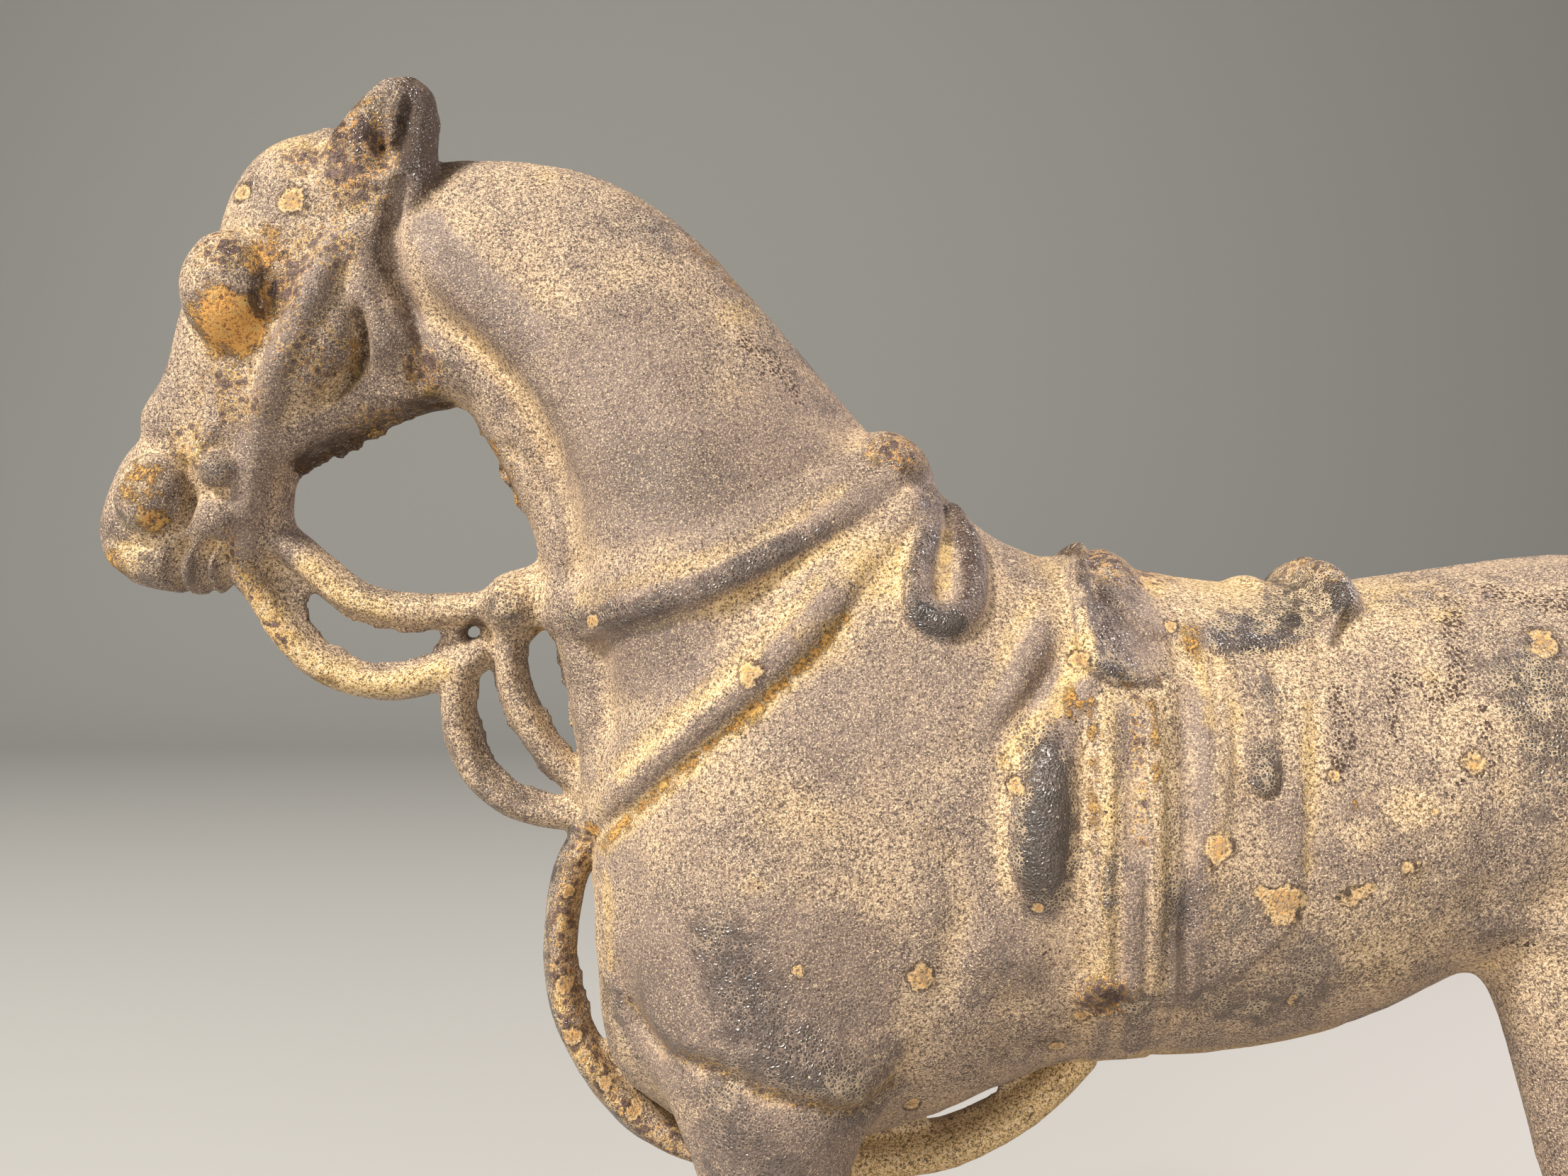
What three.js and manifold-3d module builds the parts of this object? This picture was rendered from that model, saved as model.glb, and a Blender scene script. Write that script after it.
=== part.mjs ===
// Cast iron horse ornament, saddled and bridled, on its own low plinth. Millimetres, +Z up.
// The horse faces -X and its left side faces -Y. The origin is on the plinth's underside,
// below the middle of the whole ornament's length and width.
import * as THREE from "three";
import { mergeVertices } from "three/addons/utils/BufferGeometryUtils.js";
import Module from "manifold-3d";

const wasm = await Module();
wasm.setup();

// Driving dimensions
const PLINTH_HEIGHT = 12;
const PLINTH_LENGTH = 206;
const PLINTH_WIDTH = 80;
const PLINTH_CENTRE_X = 33;
const PLINTH_CORNER = 9;
const PLINTH_STEP = 4;
const PLINTH_FOOT_HEIGHT = 5;
const PLINTH_CHAMFER = 1.5;
const LEG_Y = 17;
const FAR_FORELEG_BACK = 5;
const FAR_HIND_BACK = 16;
const REIN_THICKNESS = 5;
const REIN_DEPTH = 9;
const CHEST_STRAP_THICKNESS = 5.2;
const COLLAR_RADIUS = 2.6;
const CHEEK_STRAP_RADIUS = 1.9;
const LOOP_RADIUS = 2.1;
const FLAP_THICKNESS = 2;
const GIRTH_THICKNESS = 1.3;
const GIRTH_STRAP_RADIUS = 1.5;
const EYE_RADIUS = 6.4;
const WINDPIPE_THICKNESS = 11;
const WINDPIPE_WIDTH = 19;

// The main forms are ribs in the side view, each from a point on the front or upper outline to a
// point on the back or lower outline: [x1, z1, x2, z2, middle y, half width].
const BARREL_RIBS = [
  [-60.2, 147, -59.6, 133, 0, 5],
  [-58, 160, -57.5, 112, 0, 13],
  [-50, 174, -50, 104, 0, 20.5],
  [-38, 189, -38, 99, 0, 26],
  [-24, 203, -24, 98.5, 0, 28.5],
  [-10, 199, -10, 102.5, 0, 30],
  [-1, 192, 1, 107.5, 0, 30.5],
  [11, 187.3, 14, 112, 0, 31.5],
  [27, 184, 28, 112.7, 0, 32],
  [41, 183.3, 43, 114.6, 0, 32],
  [56, 184.2, 56, 118.8, 0, 31.5],
  [73, 186.6, 70, 126, 0, 31],
  [90.5, 188.2, 88, 134, 0, 29.5],
  [104, 185.5, 102, 141, 0, 26],
  [114, 179, 112, 149, 0, 19],
  [119.5, 170.5, 118.5, 156, 0, 8],
];
const NECK_RIBS = [
  [-93, 246, -88, 215, 0, 8.5],
  [-85.5, 248.6, -81.2, 210.4, 0, 10],
  [-75, 249.2, -77, 207.5, 0, 11.5],
  [-63, 247.4, -73.8, 201.5, 0, 13],
  [-51.8, 242.7, -70, 195, 0, 15],
  [-42.5, 234.8, -67, 187.5, 0, 17],
  [-33.5, 225, -65.2, 177, 0, 19.5],
  [-25, 215, -62.5, 165, 0, 21.5],
  [-16, 205, -59.5, 150, 0, 22],
  [-2, 190, -50, 130, 0, 20],
];
const HEAD_RIBS = [
  [-92, 251.5, -84, 243, 0, 6.5],
  [-102.3, 253.5, -86, 233, 0, 9.5],
  [-110.9, 250.4, -87, 221, 0, 11.5],
  [-116.2, 243.5, -84, 210.5, 0, 12],
  [-118.5, 233.5, -91, 206.3, 0, 12.2],
  [-120.5, 224.5, -99, 202.8, 0, 10.5],
  [-123.3, 216.5, -105, 199.2, 0, 8.8],
  [-128.5, 208.5, -106.5, 193.5, 0, 8],
  [-133.5, 202, -109, 188, 0, 8],
  [-136.3, 194, -113, 184, 0, 8.3],
  [-135.2, 188, -118.5, 182.3, 0, 7.6],
  [-131, 184.3, -124, 182.4, 0, 5.2],
];
const EAR_RIBS = [
  [-101, 242, -92, 240, -6.5, 3.4],
  [-99.8, 248.5, -90.4, 248, -7.2, 3.6],
  [-96.4, 253.3, -88.4, 253.3, -7.8, 3.3],
  [-92.2, 258.2, -87, 257.6, -8, 2.5],
  [-89.2, 260.6, -86.9, 260.2, -7.9, 1.2],
];
const TAIL_RIBS = [
  [106, 184, 103, 172, 0, 5],
  [119, 180.5, 112, 168, 0, 6],
  [129, 173, 118, 162, 0, 6.8],
  [134.6, 158, 121.5, 152, 0, 7.6],
  [136.3, 138, 123.2, 138, 0, 8.2],
  [135.8, 116, 123.6, 118, 0, 8],
  [133.5, 97, 124, 100, 0, 6.4],
  [129.5, 82, 126, 85, 0, 2.4],
];
const FORELEG_RIBS = [
  [-46, 166, -14, 178, -9, 14],
  [-49.5, 150, -10, 160, -13.5, 14],
  [-51, 134, -9, 145, -14.5, 14.2],
  [-50, 119, -11, 130, -15.5, 13.4],
  [-46.8, 108, -15, 114, -LEG_Y, 11.5],
  [-43.3, 99, -21.2, 101, -LEG_Y, 9.6],
  [-41, 86, -25, 86, -LEG_Y, 7.4],
  [-39.2, 73, -27.3, 72, -LEG_Y, 6],
  [-40.2, 63, -26.8, 61, -LEG_Y, 6.5],
  [-38.4, 54, -28.4, 53, -LEG_Y, 5.2],
  [-37.6, 42, -28.8, 42, -LEG_Y, 4.5],
  [-38, 33, -27, 32, -LEG_Y, 5.4],
  [-40.2, 27, -30, 24.5, -LEG_Y, 4.9],
  [-43, 22.5, -29, 21, -LEG_Y, 6.9],
  [-46, PLINTH_HEIGHT, -28, PLINTH_HEIGHT, -LEG_Y, 8.5],
];
const NEAR_HIND_RIBS = [
  [66, 156, 116, 172, -11, 16],
  [66, 143, 120.5, 158, -14.5, 15],
  [69, 130.7, 119.5, 141, -16, 14.5],
  [73, 119, 113, 124, -LEG_Y, 13],
  [75.8, 108.4, 106.5, 109, -LEG_Y, 10.6],
  [78.6, 97, 102.5, 96, -LEG_Y, 8.8],
  [82.5, 86, 102.5, 85, -LEG_Y, 7.4],
  [88, 74, 105.5, 75, -LEG_Y, 6.5],
  [91, 64, 105, 62, -LEG_Y, 6.3],
  [92.3, 53, 102.3, 52, -LEG_Y, 5.2],
  [92.2, 41, 101, 41, -LEG_Y, 4.7],
  [90.8, 33, 101.6, 32, -LEG_Y, 5.5],
  [88.4, 27, 98, 24.5, -LEG_Y, 5],
  [85, 22.5, 98.5, 21, -LEG_Y, 7],
  [81.5, PLINTH_HEIGHT, 99.5, PLINTH_HEIGHT, -LEG_Y, 8.5],
];

// Routes of the harness in the side view, [x, z]. Reins and martingale lie in the middle plane.
const UPPER_REIN = [
  [-116, 197], [-109, 191], [-103.5, 186.5], [-98, 182], [-92, 180], [-85, 179.6], [-77, 180],
];
const LOWER_REIN = [
  [-116, 191], [-113, 185], [-110.5, 180.5], [-107, 175.5], [-102.5, 171.5], [-97, 169], [-90, 168.6],
  [-83, 170.5],
];
const REIN_LOOP = [
  [-78, 178], [-80.5, 172.5], [-81.5, 166], [-80.8, 160], [-78.5, 155], [-74.5, 151.2], [-69, 149],
  [-61, 148],
];
const MARTINGALE = [[-73.5, 176], [-73, 169], [-70.5, 163], [-67, 157.5], [-59, 150]];
const CHEST_STRAP = [
  [-61, 146], [-64.2, 139], [-65.4, 132], [-65.6, 125], [-64.4, 118], [-61.5, 111.5], [-57.8, 106],
  [-52.5, 101], [-44, 97], [-33, 95], [-20, 95.5], [-9, 97.3], [1, 101.3], [9, 107], [15, 113],
];
// Straps that lie on the horse's side, [x, z].
const CHEEK_STRAP = [[-97, 234], [-100.5, 225.5], [-105.5, 215.5], [-109.5, 206], [-112, 197], [-113, 190]];
const HEAD_STRAP = [[-87.5, 244], [-88.5, 236], [-87.5, 226], [-84.5, 216], [-82, 211]];
const UPPER_COLLAR = [
  [-68.5, 180], [-60.3, 178], [-51.3, 180.5], [-40.9, 184], [-30.6, 189.1], [-22.8, 193.8], [-15, 199],
];
const LOWER_COLLAR = [
  [-59.4, 148], [-53.1, 154.5], [-43.1, 163.8], [-33.7, 171.9], [-24.4, 181.2], [-12, 195],
];
const WITHERS_LOOP = [
  [-8.8, 198], [-10, 192.4], [-11.9, 186.1], [-12.5, 181.2], [-10.2, 178.1], [-7.1, 178.3], [-4.5, 181.7],
  [-3.9, 186.1], [-4.9, 190.8], [-6, 195],
];
const GIRTH_STRAP = [[15.5, 169], [15.2, 155], [15.2, 141], [16.5, 129], [19, 117]];
// Outlines of the raised panels, [x, z].
const FLAP_OUTLINE = [
  [13.5, 200], [12, 173.5], [13.5, 171.3], [20, 169.3], [27, 171.5], [34, 175], [42, 174.5], [46, 177.3],
  [54, 182], [57, 200],
];
const GIRTH_OUTLINE = [[9.8, 172], [9.8, 140], [13.8, 104], [26.3, 104], [24.6, 140], [24.6, 172]];

// Catmull-Rom between rows of numbers, ends carried straight on.
function smoothRows(rows, stepsBetween) {
  const last = rows.length - 1;
  const out = [];
  for (let i = 0; i < last; i++) {
    for (let k = 0; k < stepsBetween; k++) {
      const t = k / stepsBetween;
      out.push(
        rows[i].map((p1, c) => {
          const p2 = rows[i + 1][c];
          const p0 = i === 0 ? 2 * p1 - p2 : rows[i - 1][c];
          const p3 = i + 1 === last ? 2 * p2 - p1 : rows[i + 2][c];
          const bend = 2 * p0 - 5 * p1 + 4 * p2 - p3;
          const twist = 3 * p1 - p0 - 3 * p2 + p3;
          return p1 + 0.5 * t * (p2 - p0 + t * (bend + t * twist));
        }),
      );
    }
  }
  out.push(rows[last]);
  return out;
}

// A closed body through the ribs. Fullness above 0 widens the lower or back half.
function loft(ribs, { sides = 14, stepsBetween = 2, fullness = 0 } = {}) {
  const rings = smoothRows(ribs, stepsBetween);
  const position = [];
  const index = [];
  rings.forEach(([x1, z1, x2, z2, y, half]) => {
    for (let s = 0; s < sides; s++) {
      const angle = (2 * Math.PI * s) / sides;
      const along = Math.cos(angle);
      const across = Math.sin(angle) * (1 - fullness * along);
      position.push((x1 + x2) / 2 + ((x1 - x2) / 2) * along);
      position.push(y + half * across);
      position.push((z1 + z2) / 2 + ((z1 - z2) / 2) * along);
    }
  });
  for (let r = 0; r + 1 < rings.length; r++) {
    for (let s = 0; s < sides; s++) {
      const a = r * sides + s;
      const b = r * sides + ((s + 1) % sides);
      index.push(a, b, b + sides, a, b + sides, a + sides);
    }
  }
  const lastRing = (rings.length - 1) * sides;
  for (let s = 1; s + 1 < sides; s++) {
    index.push(0, s + 1, s);
    index.push(lastRing, lastRing + s, lastRing + s + 1);
  }
  const geometry = new THREE.BufferGeometry();
  geometry.setAttribute("position", new THREE.Float32BufferAttribute(position, 3));
  geometry.setIndex(index);
  return geometry;
}

// A bar along points in space, with an oval section. A step is a stretch of about stepLength.
function bar(points, thickness, { depth = thickness, sides = 6, stepLength = 6 } = {}) {
  const section = new THREE.Shape().absellipse(0, 0, depth / 2, thickness / 2, 0, 2 * Math.PI);
  const path = new THREE.CatmullRomCurve3(points);
  return new THREE.ExtrudeGeometry(section, {
    steps: Math.round(path.getLength() / stepLength),
    curveSegments: sides / 2,
    extrudePath: path,
  });
}

// A bar in the middle plane, along [x, z], deeper across the horse than it is thick.
function middleBar(route, thickness) {
  const points = route.map(([x, z]) => new THREE.Vector3(x, 0, z));
  return bar(points, thickness, { depth: REIN_DEPTH, sides: 8, stepLength: 5.8 });
}

// A swelling: an ellipsoid with radii [x, y, z], its top leaned towards +X by lean radians.
function swelling(x, y, z, radii, lean = 0, segments = 10) {
  const geometry = new THREE.SphereGeometry(1, segments, Math.round(segments * 0.6));
  geometry.scale(...radii);
  geometry.rotateY(lean);
  geometry.translate(x, y, z);
  return geometry;
}

// A prism through the whole width of the horse, from an outline in the side view.
function prism(outline, depth) {
  const shape = new THREE.Shape(outline.map(([x, z]) => new THREE.Vector2(x, z)));
  const geometry = new THREE.ExtrudeGeometry(shape, { depth, bevelEnabled: false });
  geometry.rotateX(Math.PI / 2);
  geometry.translate(0, depth / 2, 0);
  return geometry;
}

function otherSide(geometry) {
  return geometry.clone().scale(1, -1, 1);
}

// A solid for joining and cutting, turned to face outwards.
function solidOf(geometry) {
  const bare = geometry.clone();
  bare.deleteAttribute("normal");
  bare.deleteAttribute("uv");
  const merged = mergeVertices(bare, 1e-4);
  const vertProperties = merged.attributes.position.array;
  const make = (triVerts) => new wasm.Manifold(new wasm.Mesh({ numProp: 3, vertProperties, triVerts }));
  const triangles = new Uint32Array(merged.index.array);
  const solid = make(triangles);
  return solid.volume() > 0 ? solid : make(triangles.reverse());
}

function geometryOf(solid) {
  const mesh = solid.getMesh();
  const geometry = new THREE.BufferGeometry();
  geometry.setAttribute("position", new THREE.BufferAttribute(mesh.vertProperties, 3));
  geometry.setIndex(new THREE.BufferAttribute(mesh.triVerts, 1));
  return geometry;
}

function joined(geometries) {
  return geometries.map(solidOf).reduce((all, one) => all.add(one));
}

// A point pulled from the lower end of a rib towards its upper end.
function pulled([x1, z1, x2, z2], distance) {
  const part = distance / Math.hypot(x1 - x2, z1 - z2);
  return [x2 + (x1 - x2) * part, z2 + (z1 - z2) * part];
}

// The neck is the crest's muscle with the round windpipe along its front, and a groove between.
function neck() {
  const muscleRibs = NECK_RIBS.map((rib) => {
    const [x2, z2] = pulled(rib, WINDPIPE_THICKNESS * 0.6);
    return [rib[0], rib[1], x2, z2, rib[4], rib[5]];
  });
  const windpipeRoute = NECK_RIBS.map((rib) => {
    const [x, z] = pulled(rib, WINDPIPE_THICKNESS / 2);
    return new THREE.Vector3(x, 0, z);
  });
  return [
    loft(muscleRibs, { sides: 12, fullness: 0.25 }),
    bar(windpipeRoute, WINDPIPE_THICKNESS, { depth: WINDPIPE_WIDTH, sides: 8, stepLength: 7 }),
  ];
}

// The bare animal, without harness
function animal() {
  const foreleg = loft(FORELEG_RIBS, { sides: 10, stepsBetween: 1 });
  const nearHind = loft(NEAR_HIND_RIBS, { sides: 10, stepsBetween: 1 });
  const farHindRibs = NEAR_HIND_RIBS.map(([x1, z1, x2, z2, y, half], i) => {
    const frontShift = FAR_HIND_BACK * Math.min(1, i / 3);
    const backShift = FAR_HIND_BACK * Math.min(1, i / 6);
    return [x1 + frontShift, z1, x2 + backShift, z2, -y, half];
  });
  return joined([
    loft(BARREL_RIBS, { sides: 16, stepsBetween: 1, fullness: 0.05 }),
    ...neck(),
    loft(HEAD_RIBS, { sides: 14, stepsBetween: 1, fullness: -0.1 }),
    loft(TAIL_RIBS, { sides: 8, stepsBetween: 1 }),
    foreleg,
    otherSide(foreleg).translate(FAR_FORELEG_BACK, 0, 0),
    nearHind,
    loft(farHindRibs, { sides: 10, stepsBetween: 1 }),
  ]);
}

// The y of the left side's surface at a place in the side view.
function sideFinder(solid) {
  const mesh = new THREE.Mesh(geometryOf(solid), new THREE.MeshBasicMaterial({ side: THREE.DoubleSide }));
  const ray = new THREE.Raycaster();
  return (x, z) => {
    ray.set(new THREE.Vector3(x, -200, z), new THREE.Vector3(0, 1, 0));
    const hit = ray.intersectObject(mesh)[0];
    return hit ? hit.point.y : -2;
  };
}

// Reins, rein loop, martingale and breast strap, cast as one lattice in the middle plane
function reins() {
  return joined([
    middleBar(UPPER_REIN, REIN_THICKNESS),
    middleBar(LOWER_REIN, REIN_THICKNESS),
    middleBar(REIN_LOOP, REIN_THICKNESS),
    middleBar(MARTINGALE, REIN_THICKNESS),
    middleBar(CHEST_STRAP, CHEST_STRAP_THICKNESS),
    swelling(-72.5, 0, 180.5, [5, 8, 5]),
  ]);
}

// What stands proud of one side: bridle, collar, loops, eye, nostril, cheek and ear
function sideFittings(sideY) {
  const onSide = (route, radius, stepLength) => {
    const points = route.map(([x, z]) => new THREE.Vector3(x, sideY(x, z), z));
    return bar(points, 2 * radius, { stepLength });
  };
  return joined([
    onSide(CHEEK_STRAP, CHEEK_STRAP_RADIUS, 9),
    onSide(HEAD_STRAP, CHEEK_STRAP_RADIUS, 9),
    onSide(UPPER_COLLAR, COLLAR_RADIUS, 8),
    onSide(LOWER_COLLAR, COLLAR_RADIUS, 8),
    onSide(WITHERS_LOOP, LOOP_RADIUS, 4.5),
    swelling(-14, -5, 202.4, [5.6, 8, 4], 0.5, 8),
    swelling(-112.6, -9.6, 228.4, [EYE_RADIUS, 6, EYE_RADIUS * 1.25], -0.1),
    swelling(-125.3, -7.4, 196.8, [4.6, 3.8, 5.2], 0.3, 8),
    swelling(-114.6, -8.4, 200.6, [2.8, 2.6, 2.8], 0, 6),
    swelling(-115.6, -7, 193.4, [3.2, 3.2, 3.2], 0, 6),
    swelling(-97, -7.6, 219.3, [5.4, 5.6, 9.5], 0.45, 8),
    loft(EAR_RIBS, { sides: 8, stepsBetween: 1 }),
  ]);
}

// One side's saddle fittings: girth strap, buckle, knee roll and hanging strap end
function saddleFittings(sideY) {
  const strapPoints = GIRTH_STRAP.map(([x, z]) => new THREE.Vector3(x, sideY(x, z), z));
  const placed = (x, z, radii, lean) => swelling(x, sideY(x, z) + 1, z, radii, lean, 8);
  return joined([
    bar(strapPoints, 2 * GIRTH_STRAP_RADIUS, { stepLength: 14 }),
    placed(12.5, 128.5, [4, 3.2, 3.4], 0),
    placed(3, 155.5, [4.2, 4.6, 10.5], 0.22),
    placed(32.3, 163.5, [2.6, 2.4, 9.5], 0.02),
  ]);
}

// Saddle and girth stand proud of the barrel by their own thickness.
function saddleAndGirth() {
  const panel = (outline, by) => {
    const ribs = BARREL_RIBS.map(([x1, z1, x2, z2, y, half]) => [x1, z1 + by, x2, z2 - by, y, half + by]);
    const shell = loft(ribs, { sides: 16, stepsBetween: 1, fullness: 0.05 });
    return solidOf(shell).intersect(solidOf(prism(outline, 100)));
  };
  return panel(FLAP_OUTLINE, FLAP_THICKNESS)
    .add(panel(GIRTH_OUTLINE, GIRTH_THICKNESS))
    .add(solidOf(swelling(17.3, 0, 183.5, [5.2, 14, 6.6])))
    .add(solidOf(swelling(50.6, 0, 180.8, [4.6, 17, 7.2], -0.1)));
}

// Horse with its harness, one casting
function horse() {
  const bare = animal();
  const dressed = bare.add(saddleAndGirth());
  const fittings = [sideFittings(sideFinder(bare)), saddleFittings(sideFinder(dressed))];
  const solid = fittings.reduce(
    (all, one) => all.add(one).add(solidOf(otherSide(geometryOf(one)))),
    dressed.add(reins()),
  );
  return geometryOf(solid);
}

// A plate with round corners and a chamfered rim, between two heights.
function plate(inset, low, high) {
  const x = PLINTH_LENGTH / 2 - inset - PLINTH_CHAMFER;
  const y = PLINTH_WIDTH / 2 - inset - PLINTH_CHAMFER;
  const r = PLINTH_CORNER - inset - PLINTH_CHAMFER;
  const shape = new THREE.Shape();
  const corners = [[x - r, y - r], [r - x, y - r], [r - x, r - y], [x - r, r - y]];
  corners.forEach(([cx, cy], i) => shape.absarc(cx, cy, r, (i * Math.PI) / 2, ((i + 1) * Math.PI) / 2));
  const geometry = new THREE.ExtrudeGeometry(shape, {
    depth: high - low - 2 * PLINTH_CHAMFER,
    curveSegments: 3,
    bevelThickness: PLINTH_CHAMFER,
    bevelSize: PLINTH_CHAMFER,
    bevelSegments: 1,
  });
  return geometry.translate(PLINTH_CENTRE_X, 0, low + PLINTH_CHAMFER);
}

// The plinth is a wider foot with a narrower block on it.
function plinth() {
  const foot = solidOf(plate(0, 0, PLINTH_FOOT_HEIGHT));
  const block = solidOf(plate(PLINTH_STEP, 0, PLINTH_HEIGHT));
  return geometryOf(foot.add(block));
}

const iron = { roughness: 0.78, metalness: 0.15 };
const horseMesh = new THREE.Mesh(horse(), new THREE.MeshStandardMaterial({ color: 0x8c7d6a, ...iron }));
horseMesh.name = "horse";
const plinthMesh = new THREE.Mesh(plinth(), new THREE.MeshStandardMaterial({ color: 0x7d6e5c, ...iron }));
plinthMesh.name = "plinth";
const group = new THREE.Group();
group.add(horseMesh, plinthMesh);

export default group;
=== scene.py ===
# Cast iron horse ornament on its plinth, as it looks after years of rust and dust.
# Lengths are millimetres while the casting is shaped, and metres once it is a Blender mesh.
import math

import bpy
import numpy as np
import openvdb
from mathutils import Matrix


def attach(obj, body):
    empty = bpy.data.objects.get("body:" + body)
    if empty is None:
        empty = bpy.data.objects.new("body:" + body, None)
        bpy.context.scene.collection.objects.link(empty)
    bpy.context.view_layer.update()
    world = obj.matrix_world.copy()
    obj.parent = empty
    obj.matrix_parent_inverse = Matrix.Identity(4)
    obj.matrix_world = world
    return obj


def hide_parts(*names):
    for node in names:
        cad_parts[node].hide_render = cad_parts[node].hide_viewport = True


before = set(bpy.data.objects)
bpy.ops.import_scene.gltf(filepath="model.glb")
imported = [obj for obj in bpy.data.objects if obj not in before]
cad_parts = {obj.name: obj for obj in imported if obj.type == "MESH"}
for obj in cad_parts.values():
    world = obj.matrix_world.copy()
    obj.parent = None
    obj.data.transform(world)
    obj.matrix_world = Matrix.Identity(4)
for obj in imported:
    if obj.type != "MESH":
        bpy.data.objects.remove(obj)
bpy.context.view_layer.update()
scene = bpy.context.scene

# Camera. The photograph is taken level from the horse's left, 22 cm off its middle, and its frame
# cuts off the croup and the legs.
CAMERA_PLACE = (-0.031, -0.220, 0.1832)
CAMERA_LENS = 32.55
CAMERA_SENSOR = 36.0

camera_data = bpy.data.cameras.new("camera")
camera_data.sensor_fit = "HORIZONTAL"
camera_data.sensor_width = CAMERA_SENSOR
camera_data.lens = CAMERA_LENS
camera_data.clip_start = 0.01
camera = bpy.data.objects.new("camera", camera_data)
camera.location = CAMERA_PLACE
camera.rotation_euler = (math.radians(90), 0, 0)
scene.collection.objects.link(camera)
scene.camera = camera

# Studio. A plain pale floor that runs up into a backdrop, a soft key light high before the horse's
# nose, a low one for its chest, a broad one beside the camera, one behind the croup for the rims,
# and pale air.
FLOOR_COLOUR = (0.40, 0.40, 0.39, 1)
FLOOR_ROUGHNESS = 0.9
FLOOR_REACH = 9.0
BACKDROP_PLACE = 2.2
BACKDROP_HEIGHT = 3.2
BACKDROP_BEND = 0.8
AIR_COLOUR = (0.84, 0.87, 0.90, 1)
AIR_STRENGTH = 0.10
HORSE_MIDDLE = (0.0, 0.0, 0.15)
# name, place, size, watts and colour
LIGHTS = [
    ("key_light", (-1.00, -0.90, 1.60), 0.36, 70.0, (1.0, 0.95, 0.86)),
    ("side_light", (-1.50, -1.15, 0.20), 0.45, 12.0, (1.0, 0.94, 0.86)),
    ("fill_light", (0.45, -1.50, 0.55), 0.80, 10.0, (1.0, 0.94, 0.86)),
    ("rim_light", (0.75, 0.35, 0.60), 0.40, 7.0, (1.0, 0.88, 0.86)),
]


def sweep_profile(front, back, height, bend, steps=12):
    """Floor line from front to back, then a quarter round of radius bend, then up to height."""
    line = [(front, 0.0), (back - bend, 0.0)]
    for step in range(1, steps + 1):
        turn = math.radians(90 * step / steps)
        line.append((back - bend + bend * math.sin(turn), bend - bend * math.cos(turn)))
    line.append((back, height))
    return line


profile = sweep_profile(-FLOOR_REACH, BACKDROP_PLACE, BACKDROP_HEIGHT, BACKDROP_BEND)
floor_points = [(side, y, z) for y, z in profile for side in (-FLOOR_REACH, FLOOR_REACH)]
floor_faces = [(2 * i, 2 * i + 1, 2 * i + 3, 2 * i + 2) for i in range(len(profile) - 1)]
floor_mesh = bpy.data.meshes.new("floor")
floor_mesh.from_pydata(floor_points, [], floor_faces)
floor_mesh.shade_smooth()
floor = bpy.data.objects.new("floor", floor_mesh)
scene.collection.objects.link(floor)
floor_paint = bpy.data.materials.new("floor_paint")
floor_paint.use_nodes = True
floor_shader = floor_paint.node_tree.nodes["Principled BSDF"]
floor_shader.inputs["Base Color"].default_value = FLOOR_COLOUR
floor_shader.inputs["Roughness"].default_value = FLOOR_ROUGHNESS
floor_mesh.materials.append(floor_paint)

air = bpy.data.worlds.new("air")
air.use_nodes = True
glow = air.node_tree.nodes["Background"]
glow.inputs["Color"].default_value = AIR_COLOUR
glow.inputs["Strength"].default_value = AIR_STRENGTH
scene.world = air
scene.view_settings.view_transform = "Standard"

for light_name, light_place, light_size, watts, light_colour in LIGHTS:
    light_data = bpy.data.lights.new(light_name, "AREA")
    light_data.shape = "SQUARE"
    light_data.size = light_size
    light_data.energy = watts
    light_data.color = light_colour
    lamp = bpy.data.objects.new(light_name, light_data)
    lamp.location = light_place
    away = np.array(light_place) - np.array(HORSE_MIDDLE)
    tilt = math.atan2(math.hypot(away[0], away[1]), away[2])
    lamp.rotation_euler = (tilt, 0, math.atan2(away[0], -away[1]))
    scene.collection.objects.link(lamp)

# Barrel: the horse's trunk, the heart of the one iron casting, poured in a sand mould of two
# halves. Here it is a field of distances to the iron's skin, negative inside, and every other form
# is cast into that field.
# between the field's places, and the greatest distance that it holds
SPACING = 0.6
BAND = 7.0
MOULD_LOW = (-140.0, -37.0, 9.0)
MOULD_HIGH = (140.0, 37.0, 264.0)
# [front or upper x, z, back or lower x, z, middle y, half width] down the length of a form
BARREL_RIBS = [
    [-60.2, 147, -59.6, 133, 0, 5],
    [-58, 160, -57.5, 112, 0, 13],
    [-50, 174, -50, 104, 0, 20.5],
    [-38, 189, -38, 99, 0, 26],
    [-24, 203, -24, 98.5, 0, 28.5],
    [-10, 199, -10, 102.5, 0, 30],
    [-1, 192, 1, 107.5, 0, 30.5],
    [11, 187.3, 14, 112, 0, 31.5],
    [27, 183.6, 28, 112.7, 0, 32],
    [41, 182.3, 43, 114.6, 0, 32],
    [56, 184.2, 56, 118.8, 0, 31.5],
    [73, 186.6, 70, 126, 0, 31],
    [90.5, 188.2, 88, 134, 0, 29.5],
    [104, 185.5, 102, 141, 0, 26],
    [114, 179, 112, 149, 0, 19],
    [119.5, 170.5, 118.5, 156, 0, 8],
]

mould = openvdb.createLinearTransform(voxelSize=SPACING)
first = tuple(int(math.floor(v / SPACING)) for v in MOULD_LOW)
last = tuple(int(math.ceil(v / SPACING)) for v in MOULD_HIGH)
size = tuple(b - a + 1 for a, b in zip(first, last))
AXES = [((np.arange(n) + a) * SPACING).astype(np.float32) for n, a in zip(size, first)]
iron = np.full(size, BAND, np.float32)


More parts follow.
